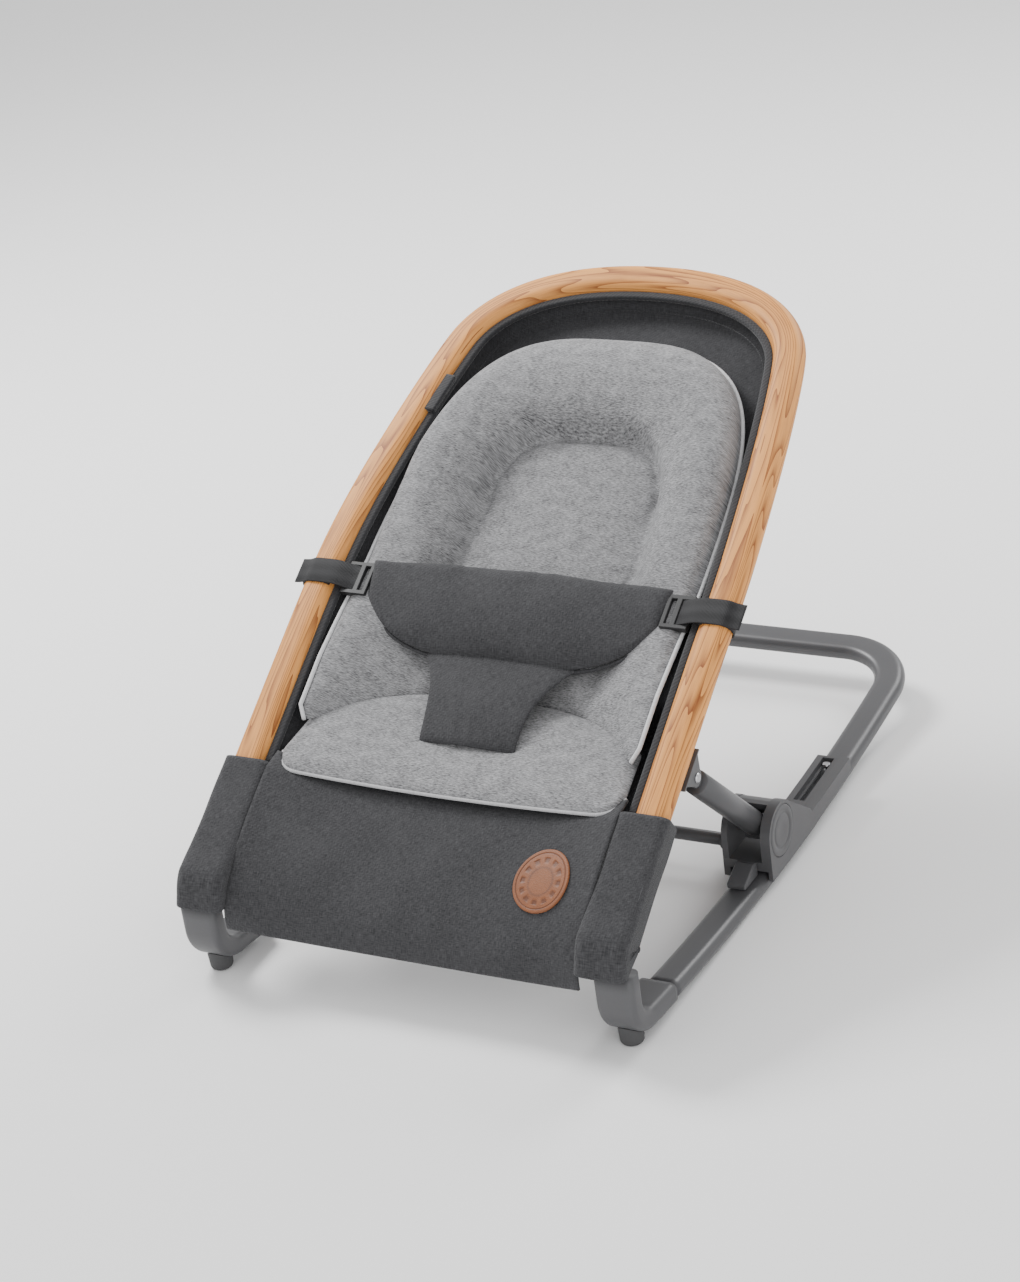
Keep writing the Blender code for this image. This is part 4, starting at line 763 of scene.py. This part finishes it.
def fill_up(piece, held, pressure, cap, frames=20):
    """Blows a pad's upper cloth up by cloth simulation, with its held points still, caps each
    move, and rounds the pad by one subdivision."""
    before = coordinates(piece.data)
    group = piece.vertex_groups.new(name="held")
    both_cloths = np.concatenate([held.ravel(), np.ones(held.size, bool)])
    group.add([int(i) for i in np.flatnonzero(both_cloths)], 1.0, "REPLACE")
    fill = piece.modifiers.new("fill", "CLOTH")
    for setting, value in CLOTH_SETTINGS.items():
        setattr(fill.settings, setting, value)
    fill.settings.use_pressure = True
    fill.settings.uniform_pressure_force = pressure
    fill.settings.vertex_group_mass = "held"
    fill.settings.effector_weights.gravity = 0.0
    fill.collision_settings.use_collision = False
    fill.point_cache.frame_start = 1
    fill.point_cache.frame_end = frames
    for number in range(1, frames + 1):
        bpy.context.scene.frame_set(number)
    evaluated = piece.evaluated_get(bpy.context.evaluated_depsgraph_get())
    moved = coordinates(evaluated.data) - before
    size = np.linalg.norm(moved, axis=1, keepdims=True)
    moved *= np.minimum(1, cap / np.maximum(size, 1e-9))
    piece.modifiers.remove(fill)
    piece.vertex_groups.remove(group)
    bpy.context.scene.frame_set(1)
    piece.data.vertices.foreach_set("co", (before + moved).astype(np.float32).ravel())
    piece.data.update()
    subdivide(piece)


def piping(name, line, lift, radius):
    """Round cord sewn in a rim: a circle carried along (x, s) stations at a lift each."""
    centres = on_seat(line[:, 0], line[:, 1], lift)
    up = unit(on_seat(line[:, 0], line[:, 1], np.asarray(lift) + 0.01) - centres)
    across = unit(np.cross(unit(np.gradient(centres, axis=0)), up))
    return sweep(name, centres, across, up, radius * circle(12))


# ==== Back liner ====
# A horseshoe bolster of grey jersey runs up one side, over the head and down the other, sewn
# to an arched inner panel. Its side wings reach down over the seat, and its rim is piped.
WING_X = 0.1655
WING_LOW = 0.170
CREASE = 0.224
ARCH_FROM = 0.30
LINER_TOP = 0.606
WING_SQUARE = 3.2         # power of the rim's arch; 2 would be an ellipse
PANEL_X = 0.087
PANEL_FROM = 0.400
PANEL_TOP = 0.503
PANEL_SQUARE = 3.3
BACK_DIP = 0.033


def bell(way, width):
    """A smooth hump: e to the minus (way over width) squared."""
    return np.exp(-(way / width) ** 2)


def arch(x, s, half, start, top, power):
    """One on the arch's line, less inside it: a superellipse above start, straight sides below."""
    rise = np.maximum(s - start, 0) / (top - start)
    return ((np.abs(x) / half) ** power + rise ** power) ** (1 / power)


def trough(x, s):
    """Hollow of the seat across: deepest in the middle, shallow at the head, rising to the wings."""
    fade = np.clip((LINER_TOP + 0.02 - s) / 0.20, 0.22, 1)
    across = np.clip(arch(x, s, WING_X, ARCH_FROM, LINER_TOP, WING_SQUARE), 0, 1)
    lip = 0.013 * np.clip((0.34 - s) / 0.11, 0, 1)
    return -0.004 + lip * across ** 4 - BACK_DIP * fade * (1 - across ** 2.4)


def liner_height(x, s):
    """Trough, plus the bolster's swell and the panel's crown, less the groove of their seam and
    one short pucker above it."""
    inner = arch(x, s, PANEL_X, PANEL_FROM, PANEL_TOP, PANEL_SQUARE)
    outer = np.clip(arch(x, s, WING_X, ARCH_FROM, LINER_TOP, WING_SQUARE), 0, 1)
    way = np.clip(inner - 1, 0, None)
    share = way / (way + 2.6 * (1 - outer) + 1e-6)
    calm = np.clip((s - 0.20) / 0.12, 0, 1)
    high = np.clip((s - 0.34) / 0.12, 0, 1)
    swell = (0.011 * calm + 0.021 * high) * np.clip(4 * share * (1 - share), 0, 1) ** 0.45
    swell = swell + 0.004 * (1 - share) * high * np.clip(way * 8, 0, 1)
    crown = 0.0065 * np.clip(1 - inner ** 3, 0, 1) ** 0.5 * calm
    groove = (0.0055 + 0.0040 * high) * bell((inner - 1) * PANEL_X, 0.0028) * calm
    pucker = 0.0035 * np.exp(-((x + 0.004) / 0.0035) ** 2 - ((s - PANEL_TOP - 0.014) / 0.012) ** 2)
    return trough(x, s) + swell + crown - groove - pucker


SEAT_X = 0.168
SEAT_FRONT = 0.113
STRAP_BASE = 0.166


def seat_height(x, s):
    """Falls to the rear, lifts a little at the sides, and dimples at the strap's base."""
    run = (s - SEAT_FRONT) / (0.220 - SEAT_FRONT)
    dimple = 0.0050 * np.exp(-(x / 0.052) ** 4 - ((s - STRAP_BASE - 0.012) / 0.022) ** 2)
    return 0.0085 - 0.0336 * run + 0.005 * (x / SEAT_X) ** 2 - dimple


def shell_height(x, s):
    """Runs a set way below the trough to the rear and below the seat to the front, and blends
    from one to the other about the crease."""
    back = trough(x, np.maximum(s, CREASE)) - 0.0155
    seat = seat_height(x, np.minimum(s, CREASE)) - 0.0185
    blend = np.clip((s - CREASE + 0.012) / 0.02, 0, 1)
    return seat + (back - seat) * blend - 0.001


def three_sides(line, share, rows, cols):
    """The left, top and right edges of a patch, cut from a line of 401 points at a share of it."""
    first = int(400 * share)
    right, top = even(line[:first + 1], rows), even(line[first:401 - first], cols)[::-1]
    return even(line[400 - first:][::-1], rows), top, right


outline = np.linspace(0, np.pi, 400)
arch_line = np.stack([WING_X * np.sign(np.cos(outline)) * np.abs(np.cos(outline)) ** (2 / WING_SQUARE),
                      ARCH_FROM + (LINER_TOP - ARCH_FROM) * np.sin(outline) ** (2 / WING_SQUARE)], 1)
round_rim = even(np.vstack([[(WING_X - 0.006, WING_LOW - 0.002)], [(WING_X, WING_LOW + 0.010)], arch_line,
                            [(-WING_X, WING_LOW + 0.010)], [(-WING_X + 0.006, WING_LOW - 0.002)]]), 401)
left_rim, top_rim, right_rim = three_sides(round_rim, 0.345, 77, 65)
low_x = np.linspace(left_rim[0, 0], right_rim[0, 0], 65)
low_rim = np.stack([low_x, CREASE - (CREASE - left_rim[0, 1]) * np.abs(low_x / low_x[-1]) ** 2.6], 1)
liner_plan = patch(low_rim, top_rim, left_rim, right_rim)
liner = pad_piece("back_liner", liner_plan, liner_height, 0.018, edge=0.016,
                  bed=lambda x, s: shell_height(x, s) + 0.0022)
on_arch = arch(liner_plan[..., 0], liner_plan[..., 1], PANEL_X, PANEL_FROM, PANEL_TOP, PANEL_SQUARE)
seam = np.abs(on_arch - 1) < 0.03
fill_up(liner, seam | (rim_distance(liner_plan) < 0.004), 5.0, 0.007)
settle(liner, cloth["grey_jersey"], "seat", "grey_jersey", "back_pad", "head_pad")

rim_lift = liner_height(round_rim[:, 0], round_rim[:, 1]) - 0.0050
piece = piping("liner_piping", round_rim + unit(np.column_stack([round_rim[:, 0], np.maximum(
    round_rim[:, 1] - 0.35, 0)])) * 0.0010, rim_lift, 0.0019)
settle(piece, cloth["pale_piping"], "seat", "grey_jersey")


# ==== Seat cushion ====
# A thin foam pad in the same jersey, piped along its front. It narrows to the rear where the
# wings fold over it, and the strap between the child's legs draws it down to a dimple.
SEAT_COLS = 61


def straight_patch(front, rear, rows):
    """Patch between two edges, with straight sides."""
    t = np.linspace(0, 1, rows)[:, None]
    return patch(front, rear, front[0] + t * (rear[0] - front[0]), front[-1] + t * (rear[-1] - front[-1]))


front_x = np.linspace(-SEAT_X, SEAT_X, SEAT_COLS)
corner = np.clip((np.abs(front_x) - SEAT_X + 0.022) / 0.022, 0, 1)
rounding = 0.020 * (1 - np.sqrt(1 - corner ** 2)) + 0.003 * (front_x / SEAT_X) ** 2
front_rim = np.stack([front_x, SEAT_FRONT + rounding], 1)
front_rim = even(front_rim, SEAT_COLS)
rear_x = np.linspace(-WING_X + 0.004, WING_X - 0.004, SEAT_COLS)
rear_rim = np.stack([rear_x, CREASE + 0.002 - 0.046 * np.abs(rear_x / WING_X) ** 2.6], 1)
seat_plan = straight_patch(front_rim, rear_rim, 25)
cushion = pad_piece("seat_cushion", seat_plan, seat_height, 0.015, edge=0.014)
base_of_strap = (np.abs(seat_plan[..., 0]) < 0.048) & (np.abs(seat_plan[..., 1] - STRAP_BASE) < 0.003)
fill_up(cushion, (rim_distance(seat_plan) < 0.003) | base_of_strap, 4.0, 0.004)
settle(cushion, cloth["grey_jersey"], "seat", "grey_jersey", "seat_pad")
pipe_line = front_rim - (0, 0.0008)
piece = piping("seat_piping", pipe_line, seat_height(pipe_line[:, 0], pipe_line[:, 1]) - 0.0065, 0.0016)
settle(piece, cloth["grey_piping"], "seat", "grey_jersey")


# ==== Outer shell ====
# The canvas that carries the child: it hangs from the bow's inner side in a black binding, with
# a sewn cord along its edge, and passes close behind the pads.
SHELL_T = 0.0018
RIM_N = 0.0005            # its height where it meets the bow
SHELL_EASE = 0.8          # power by which it falls away from there


def bow_offset(distance):
    """The bow's line moved sideways in its own plane; negative is towards the seat."""
    return bow_line + bow_side * distance


inner_edge = bow_offset(-BOW_W / 2 + 0.0030)
keep = inner_edge[:, 1] > 0.122
shell_rim = even(inner_edge[keep], 401)
left_rim, top_rim, right_rim = three_sides(shell_rim, 0.37, 81, 61)
low_rim = np.linspace(left_rim[0], right_rim[0], 61)
shell_plan = patch(low_rim, top_rim, left_rim, right_rim)
away_side = np.linalg.norm(shell_plan - left_rim[:, None], axis=-1)
away_side = np.minimum(away_side, np.linalg.norm(shell_plan - right_rim[:, None], axis=-1))
away_rim = np.minimum(away_side, np.linalg.norm(shell_plan - top_rim[None], axis=-1))
weight = np.clip(away_rim / 0.020, 0, 1) ** SHELL_EASE
x, s = shell_plan[..., 0], shell_plan[..., 1]
upper_n = RIM_N + (shell_height(x, s) - RIM_N) * weight
shell = two_faced("canvas_shell", on_seat(x, s, upper_n), on_seat(x, s, upper_n - SHELL_T), shell_plan)
settle(shell, cloth["shell_canvas"], "seat", "shell_cloth", "fabric_shell")

binding_line = bow_offset(-BOW_W / 2 - 0.0036)
binding_line = even(binding_line[binding_line[:, 1] > 0.118], 300)
binding = seat_sweep("black_edge_binding", binding_line, soft_rectangle(0.0085, 0.0056, 0.0024, 5), -0.0006)
settle(binding, cloth["black_binding"], "seat", "shell_cloth")

stitch_line = bow_offset(-BOW_W / 2 - 0.0125)
stitch_line = even(stitch_line[stitch_line[:, 1] > 0.300], 500)
stitch_n = shell_height(stitch_line[:, 0], stitch_line[:, 1])
stitch_n = RIM_N + (stitch_n - RIM_N) * 0.51 ** SHELL_EASE + 0.0001
stitches = piping("shell_stitches", stitch_line, stitch_n, 0.0004)
settle(stitches, cloth["black_binding"], "seat", "shell_cloth")


# ==== Front skirt and leg sleeves ====
# A charcoal apron hides the front hinge: its middle falls from the seat's front seam to a
# turned hem, and each side is sewn into a sleeve that is drawn over the leg and its socket.
SKIRT_X = 0.1712
SKIRT_SQUARE = 3.2        # power that keeps its sides' profile near its sides
SEAM_S = 0.1070           # the front seam's station and height, in the middle
SEAM_N = -0.0045
SKIRT_ROWS, SKIRT_COLS = 61, 97


def skirt_point(u, t):
    """u runs across from -1 to 1, t from the top seam to the hem; the middle's profile and the
    sides' profile are cubic curves, blended by a power of u, and faint ripples lie on both."""
    seam_mid = on_seat(0, SEAM_S, SEAM_N)[1:]
    seam_side = on_seat(0, SEAM_S + 0.0060, SEAM_N + 0.0165)[1:]
    down = t[..., None]
    middle = cubic_at(down, seam_mid, (0.040 - SHIFT, 0.117), (0.000 - SHIFT, 0.090),
                      (-0.009 - SHIFT, 0.0530))
    side = cubic_at(down, seam_side, on_seat(0, 0.050, 0.0135)[1:], (-0.0200 - SHIFT, 0.098),
                    (-0.0130 - SHIFT, 0.0570))
    share = (np.abs(u) ** SKIRT_SQUARE)[..., None]
    yz = middle + (side - middle) * share
    ripple = 0.0009 * np.sin(9.0 * u + 2.1 * t) * np.sin(np.pi * t) + 0.0010 * np.sin(17 * u - 3 * t) * t ** 3
    ripple += 0.0016 * bell(u + 0.2 - 0.25 * t, 0.07) * np.sin(np.pi * t) ** 2
    return np.concatenate([(u * SKIRT_X)[..., None], yz], -1) + ripple[..., None] * np.array([0, -0.8, 0.6])


u, t = np.meshgrid(np.linspace(-1, 1, SKIRT_COLS), np.linspace(0, 1, SKIRT_ROWS))
face = skirt_point(u, t)
tuck_u, tuck_t = np.meshgrid(np.linspace(-1, 1, SKIRT_COLS), np.linspace(1, 0, 9)[:-1])
tuck_side = np.abs(tuck_u) ** SKIRT_SQUARE
tucked = on_seat(tuck_u * SKIRT_X, SEAM_S + 0.0060 * tuck_side + 0.020 * tuck_t,
                 SEAM_N + 0.0165 * tuck_side - 0.0080 * tuck_t)
apron = np.concatenate([tucked, face])
SKIRT_T = 0.0020
inward = unit(np.cross(np.gradient(apron, axis=0), np.gradient(apron, axis=1)))
inner = apron + inward * SKIRT_T * np.sign(np.sum(inward * np.array([0, 1.0, -0.3]), -1, keepdims=True))
gone = run_length(apron[:, SKIRT_COLS // 2])
cut = np.stack(np.broadcast_arrays(apron[..., 0], gone[:, None]), -1)
skirt = two_faced("front_apron", apron, inner, cut)
settle(skirt, cloth["charcoal_canvas"], "seat", "charcoal_cloth", "front_skirt")

SLEEVE_X = LEG_X - 0.0032
SLEEVE_W = 0.0462
SLEEVE_H = 0.0270
SLEEVE_TOP = 0.118
for side, sign in (("left", -1), ("right", 1)):
    k = np.linspace(0, 1, 46)
    s_run = np.linspace(SLEEVE_TOP, 0.010, 34)
    leg_part = on_seat(sign * SLEEVE_X, s_run, 0)
    leg_up = np.full(34, np.pi / 2 + TILT_LOW)
    bend_t = np.linspace(0, 1, 13)[1:]
    foot_part = np.stack([np.full(12, sign * SLEEVE_X),
                          leg_part[-1, 1] + (-0.0040 - SHIFT - leg_part[-1, 1]) * bend_t ** 0.5,
                          leg_part[-1, 2] + (0.0768 - leg_part[-1, 2]) * bend_t], 1)
    foot_up = np.pi / 2 + TILT_LOW + (np.pi / 2 - TILT_LOW) * np.clip(bend_t * 1.7, 0, 1)
    centres = np.vstack([leg_part, foot_part])
    up_angle = np.concatenate([leg_up, foot_up])
    up = np.column_stack([np.zeros(46), np.cos(up_angle), np.sin(up_angle)])
    ring = soft_rectangle(1.0, 1.0, 0.22, 8)
    wide = SLEEVE_W / 2 * (1 + 0.03 * k)
    tall = SLEEVE_H / 2 * (1 + 0.32 * np.clip((k - 0.60) / 0.30, 0, 1))
    along_wave = np.sin(11 * k[:, None] + 6 * ring[None, :, 0])
    crumple = 1 + 0.018 * along_wave * np.sin(7 * ring[None, :, 1] + 4 * k[:, None])
    grid = centres[:, None] + (2 * ring[None, :, :1] * wide[:, None, None]) * crumple[..., None] * [1.0, 0, 0]
    grid = grid + (2 * ring[None, :, 1:] * tall[:, None, None]) * crumple[..., None] * up[:, None]
    rear = np.clip(-2.4 * ring[:, 1] + 0.2, 0, 1)[None] * np.clip((k - 0.70) / 0.30, 0, 1)[:, None] ** 1.5
    grid = grid + (0.0125 * rear)[..., None] * np.array([0, 0.15, 1.0])
    girth = run_length(ring) * 0.045
    gone = run_length(centres)
    cut = np.stack(np.broadcast_arrays(girth[None], gone[:, None]), -1)
    sleeve = mesh_piece(f"sleeve_{side}", grid, grid_faces(46, len(ring), wrap=True), cut)
    outwards(sleeve)
    wall = sleeve.modifiers.new("cloth", "SOLIDIFY")
    wall.thickness = 0.0016
    wall.offset = -1
    settle(sleeve, cloth["charcoal_canvas"], "seat", "charcoal_cloth", f"leg_sleeve_{side}")


# ==== Leather patch ====
# A round of tan leather glued to the apron. Its pressed pattern is a ring of twelve blocks
# between plain rings; no sign or lettering is on it.
BADGE_R = 0.0265
BADGE_X = 0.119
BADGE_T = 0.35
ring_r = np.concatenate([np.linspace(0.0004, 0.0180, 12), np.linspace(0.0186, BADGE_R - 0.0008, 26),
                         BADGE_R - 0.0008 + 0.0008 * np.sin(np.linspace(0.3, 1.57, 4))])
angle = np.linspace(0, 2 * np.pi, 144, endpoint=False)
radius, turn = np.meshgrid(ring_r, angle, indexing="ij")
down_skirt = skirt_point(np.full(61, BADGE_X / SKIRT_X), np.linspace(0, 1, 61))
length = float(run_length(down_skirt)[-1])
bu, bt = (BADGE_X + radius * np.cos(turn)) / SKIRT_X, BADGE_T - radius * np.sin(turn) / length
base_pts = skirt_point(bu, bt)
across = unit(base_pts[-1, 0] - base_pts[-1, 72])
upward = unit(base_pts[-1, 36] - base_pts[-1, 108])
out = unit(np.cross(across, upward))
rise = 0.0022 * np.ones_like(radius)
rise -= 0.00045 * bell(radius - 0.0232, 0.0004)
rise -= 0.00035 * bell(radius - 0.0155, 0.0005)
pressed = bell(radius - 0.0232, 0.0005) + bell(radius - 0.0120, 0.0006)
blocks = np.clip((0.0022 - np.abs(radius - 0.0175)) / 0.0004, 0, 1)
blocks *= np.clip(np.cos(12 * turn) * 3 + 0.4, 0, 1)
pressed = np.clip(pressed + blocks, 0, 1)
rise -= 0.00050 * blocks
rise -= 0.0010 * np.clip((radius - BADGE_R + 0.0008) / 0.0008, 0, 1) ** 2
top = base_pts + out * rise[..., None]
low = base_pts + out * 0.0004
rows, cols = radius.shape
faces = grid_faces(rows, cols, wrap=True) + grid_faces(rows, cols, wrap=True, start=rows * cols, flip=True)
faces += [list(range(cols)), list(range(rows * cols, rows * cols + cols))]
last = (rows - 1) * cols
faces += [[last + j, last + (j + 1) % cols, rows * cols + last + (j + 1) % cols, rows * cols + last + j]
          for j in range(cols)]
both_sides = np.concatenate([top.reshape(-1, 3), low.reshape(-1, 3)])
patch_piece = outwards(mesh_piece("leather_patch", both_sides, faces))

stamp = patch_piece.data.attributes.new("pressed", "FLOAT", "POINT")
stamp.data.foreach_set("value", np.concatenate([pressed.ravel(), pressed.ravel() * 0]).astype(np.float32))

leather, tree, shader = new_material("tan_leather")
place = add(tree, "ShaderNodeTexCoord").outputs["Object"]
pebble = add(tree, "ShaderNodeTexVoronoi", {"Vector": place, "Scale": 900.0})
cloudy = add(tree, "ShaderNodeTexNoise", {"Vector": place, "Scale": 70.0, "Detail": 5.0})
shade = maths(tree, "MULTIPLY", cloudy.outputs[0], 0.6)
shade = maths(tree, "MULTIPLY_ADD", pebble.outputs["Distance"], 0.35, shade)
stamped = add(tree, "ShaderNodeAttribute", attribute_name="pressed")
shade = maths(tree, "MULTIPLY_ADD", stamped.outputs["Fac"], 0.6, shade)
tree.links.new(blend_colour(tree, clamped(tree, shade),
                            (0.300, 0.098, 0.028, 1), (0.120, 0.036, 0.011, 1)), shader.inputs["Base Color"])
roughen(tree, shader, pebble.outputs["Distance"], 0.5, 0.0002)
shader.inputs["Roughness"].default_value = 0.55
settle(patch_piece, leather, "seat", "tan_leather", "badge")


# ==== Waist pad and leg strap ====
# A folded flap of charcoal canvas over thin foam crosses the child's waist, and a tapered
# tongue of the same cloth ties it down to the seat between the legs.
FLAP_X = 0.1490
FLAP_TOP = 0.3365
FLAP_LOW = 0.2520
TONGUE_TOP = 0.268
TONGUE_HALF = 0.0475
TONGUE_FLARE = 0.040


def flap_height(x, s):
    """Bulges over the middle and falls away towards its lower edge, less two shallow creases."""
    run = np.clip((s - FLAP_LOW) / (FLAP_TOP - FLAP_LOW), 0, 1)
    swell = 0.019 * np.sqrt(np.clip(run * (1.12 - run), 0, 1)) * (1 - 0.65 * (x / FLAP_X) ** 2)
    crease = 0.0016 * bell(x - 0.02 + 0.15 * (FLAP_TOP - s), 0.004) * run ** 2
    crease += 0.0013 * bell(x + 0.055 - 0.12 * (FLAP_TOP - s), 0.005) * run ** 2
    return -0.0120 + 0.0140 * run + swell - crease + 0.005 * (x / FLAP_X) ** 4


flap_x = np.linspace(-1, 1, 61)
flap_top = np.stack([FLAP_X * flap_x, FLAP_TOP - 0.004 * flap_x ** 2 + 0.0008 * np.sin(9 * flap_x)], 1)
flap_low = np.stack([FLAP_X * 0.975 * flap_x, FLAP_LOW + 0.045 * np.abs(flap_x) ** 4.5], 1)
flap_plan = straight_patch(flap_low, flap_top, 23)
flap = pad_piece("waist_flap", flap_plan, flap_height, 0.011, edge=0.008)
fill_up(flap, rim_distance(flap_plan) < 0.003, 5.0, 0.006)
settle(flap, cloth["charcoal_canvas"], "seat", "charcoal_cloth", "belly_pad")
hem_line = even(flap_low - (0, 0.0006), 90)
piece = piping("flap_binding", hem_line, flap_height(hem_line[:, 0], hem_line[:, 1]) - 0.0075, 0.0018)
settle(piece, cloth["charcoal_canvas"], "seat", "charcoal_cloth")

tongue_t = np.linspace(0, 1, 29)[:, None]
tongue_c = np.linspace(-1, 1, 25)[None, :]
tongue_s = STRAP_BASE + (TONGUE_TOP - STRAP_BASE) * tongue_t
tongue_half = TONGUE_HALF + TONGUE_FLARE * tongue_t ** 2.6
tongue_plan = np.stack(np.broadcast_arrays(tongue_half * tongue_c, tongue_s), -1)


def tongue_height(x, s):
    """A soft S: lies on the seat at its base, then lifts off towards the flap's underside."""
    t = (s - STRAP_BASE) / (TONGUE_TOP - STRAP_BASE)
    half = TONGUE_HALF + TONGUE_FLARE * t ** 2.6
    fold = 0.0014 * bell(x / half + 0.25 + 0.5 * t, 0.10) * (1 - t)
    fold += 0.0012 * bell(x / half - 0.05 + 0.2 * t, 0.08) * (1 - t)
    return -0.0068 - 0.0085 * t + 0.0085 * np.sin(np.pi * t ** 0.8) + fold - 0.003 * (x / half) ** 2


tongue = pad_piece("leg_tongue", tongue_plan, tongue_height, 0.0040, edge=0.004)
subdivide(tongue)
settle(tongue, cloth["charcoal_canvas"], "seat", "charcoal_cloth", "crotch_strap")


# ==== Side straps ====
# Polyester webbing passes from each buckle over the leg, round it and back, with its cut
# end standing clear of the wood. The weave shows as fine ribs across the strap.
STRAP_S = 0.312
STRAP_W = 0.025
STRAP_T = 0.0015
webbing, tree, shader = new_material("ribbed_webbing")
axes_of = add(tree, "ShaderNodeSeparateXYZ", {0: add(tree, "ShaderNodeUVMap", uv_map="cut").outputs[0]})
rib = maths(tree, "SINE", maths(tree, "MULTIPLY", axes_of.outputs[1], 2 * np.pi / 0.0012))
edge_band = maths(tree, "SINE", maths(tree, "MULTIPLY", axes_of.outputs[0], 2 * np.pi / 0.0125))
tone = maths(tree, "MULTIPLY_ADD", rib, 0.18, maths(tree, "MULTIPLY_ADD", edge_band, 0.25, 0.45))
tree.links.new(blend_colour(tree, clamped(tree, tone),
                            (0.006, 0.006, 0.007, 1), (0.026, 0.026, 0.028, 1)), shader.inputs["Base Color"])
roughen(tree, shader, rib, 0.5, 0.0002)
give(shader, {"Roughness": 0.62, "Specular IOR Level": 0.3})

half_w, half_t = BOW_W / 2 + 0.0012, BOW_T / 2 + 0.0012
for side, sign in (("left", -1), ("right", 1)):
    around = np.linspace(np.pi * 0.98, -np.pi * 0.98, 60)
    bulge = half_w - half_t
    loop_x = np.where(np.cos(around) > 0, bulge, -bulge) * np.minimum(1, np.abs(np.cos(around)) * 6)
    loop_x = loop_x + half_t * np.cos(around)
    loop = np.stack([loop_x, half_t * np.sin(around)], 1)
    start_curve = cubic((-0.0385, 0.0030), (-0.030, 0.0035), (-0.022, 0.0115), (-0.010, half_t), 16)
    over = cubic((-0.010, half_t), (0.002, half_t + 0.0002), (0.008, half_t + 0.0002),
                 (0.0105, half_t - 0.0012), 10)[1:]
    tail = cubic((0.0105, half_t - 0.0012), (0.0155, 0.0068), (0.0185, 0.0068), (0.0235, 0.0062), 12)[1:]
    top_run = even(np.vstack([start_curve, over, tail]), 50)
    for part, line in (("over", top_run), ("round", even(loop[6:-2], 60))):
        seat_x = sign * (LEG_X + line[:, 0])
        centres = on_seat(seat_x, STRAP_S, line[:, 1])
        along = unit(np.gradient(centres, axis=0))
        across = np.tile(unit(on_seat(0, STRAP_S + 0.01, 0) - on_seat(0, STRAP_S - 0.01, 0)), (len(line), 1))
        piece = sweep(f"strap_{part}_{side}", centres, across, np.cross(across, along),
                      soft_rectangle(STRAP_W, STRAP_T, 0.0006, 4))
        if part == "over":
            settle(piece, webbing, "seat", "webbing", f"leg_strap_{side}")
        else:
            settle(piece, webbing, "seat", "webbing")


# ==== Woven side label ====
# A blank black ribbon folded over the binding on one side, near the head. It is a flat soft
# block that follows the bow's inner edge, and nothing is woven on it.
label_low, label_high = 0.505, 0.548
inner_left = bow_offset(-BOW_W / 2 - 0.0015)
inner_left = inner_left[inner_left[:, 0] < 0][::-1]
label_s = np.linspace(label_low, label_high, 24)
label_x = np.interp(label_s, inner_left[:, 1], inner_left[:, 0])
label_line = np.stack([label_x, label_s], 1)
label = seat_sweep("blank_label", label_line, soft_rectangle(0.0125, 0.0062, 0.0020, 5), 0.0036)
settle(label, cloth["black_binding"], "seat", "shell_cloth")
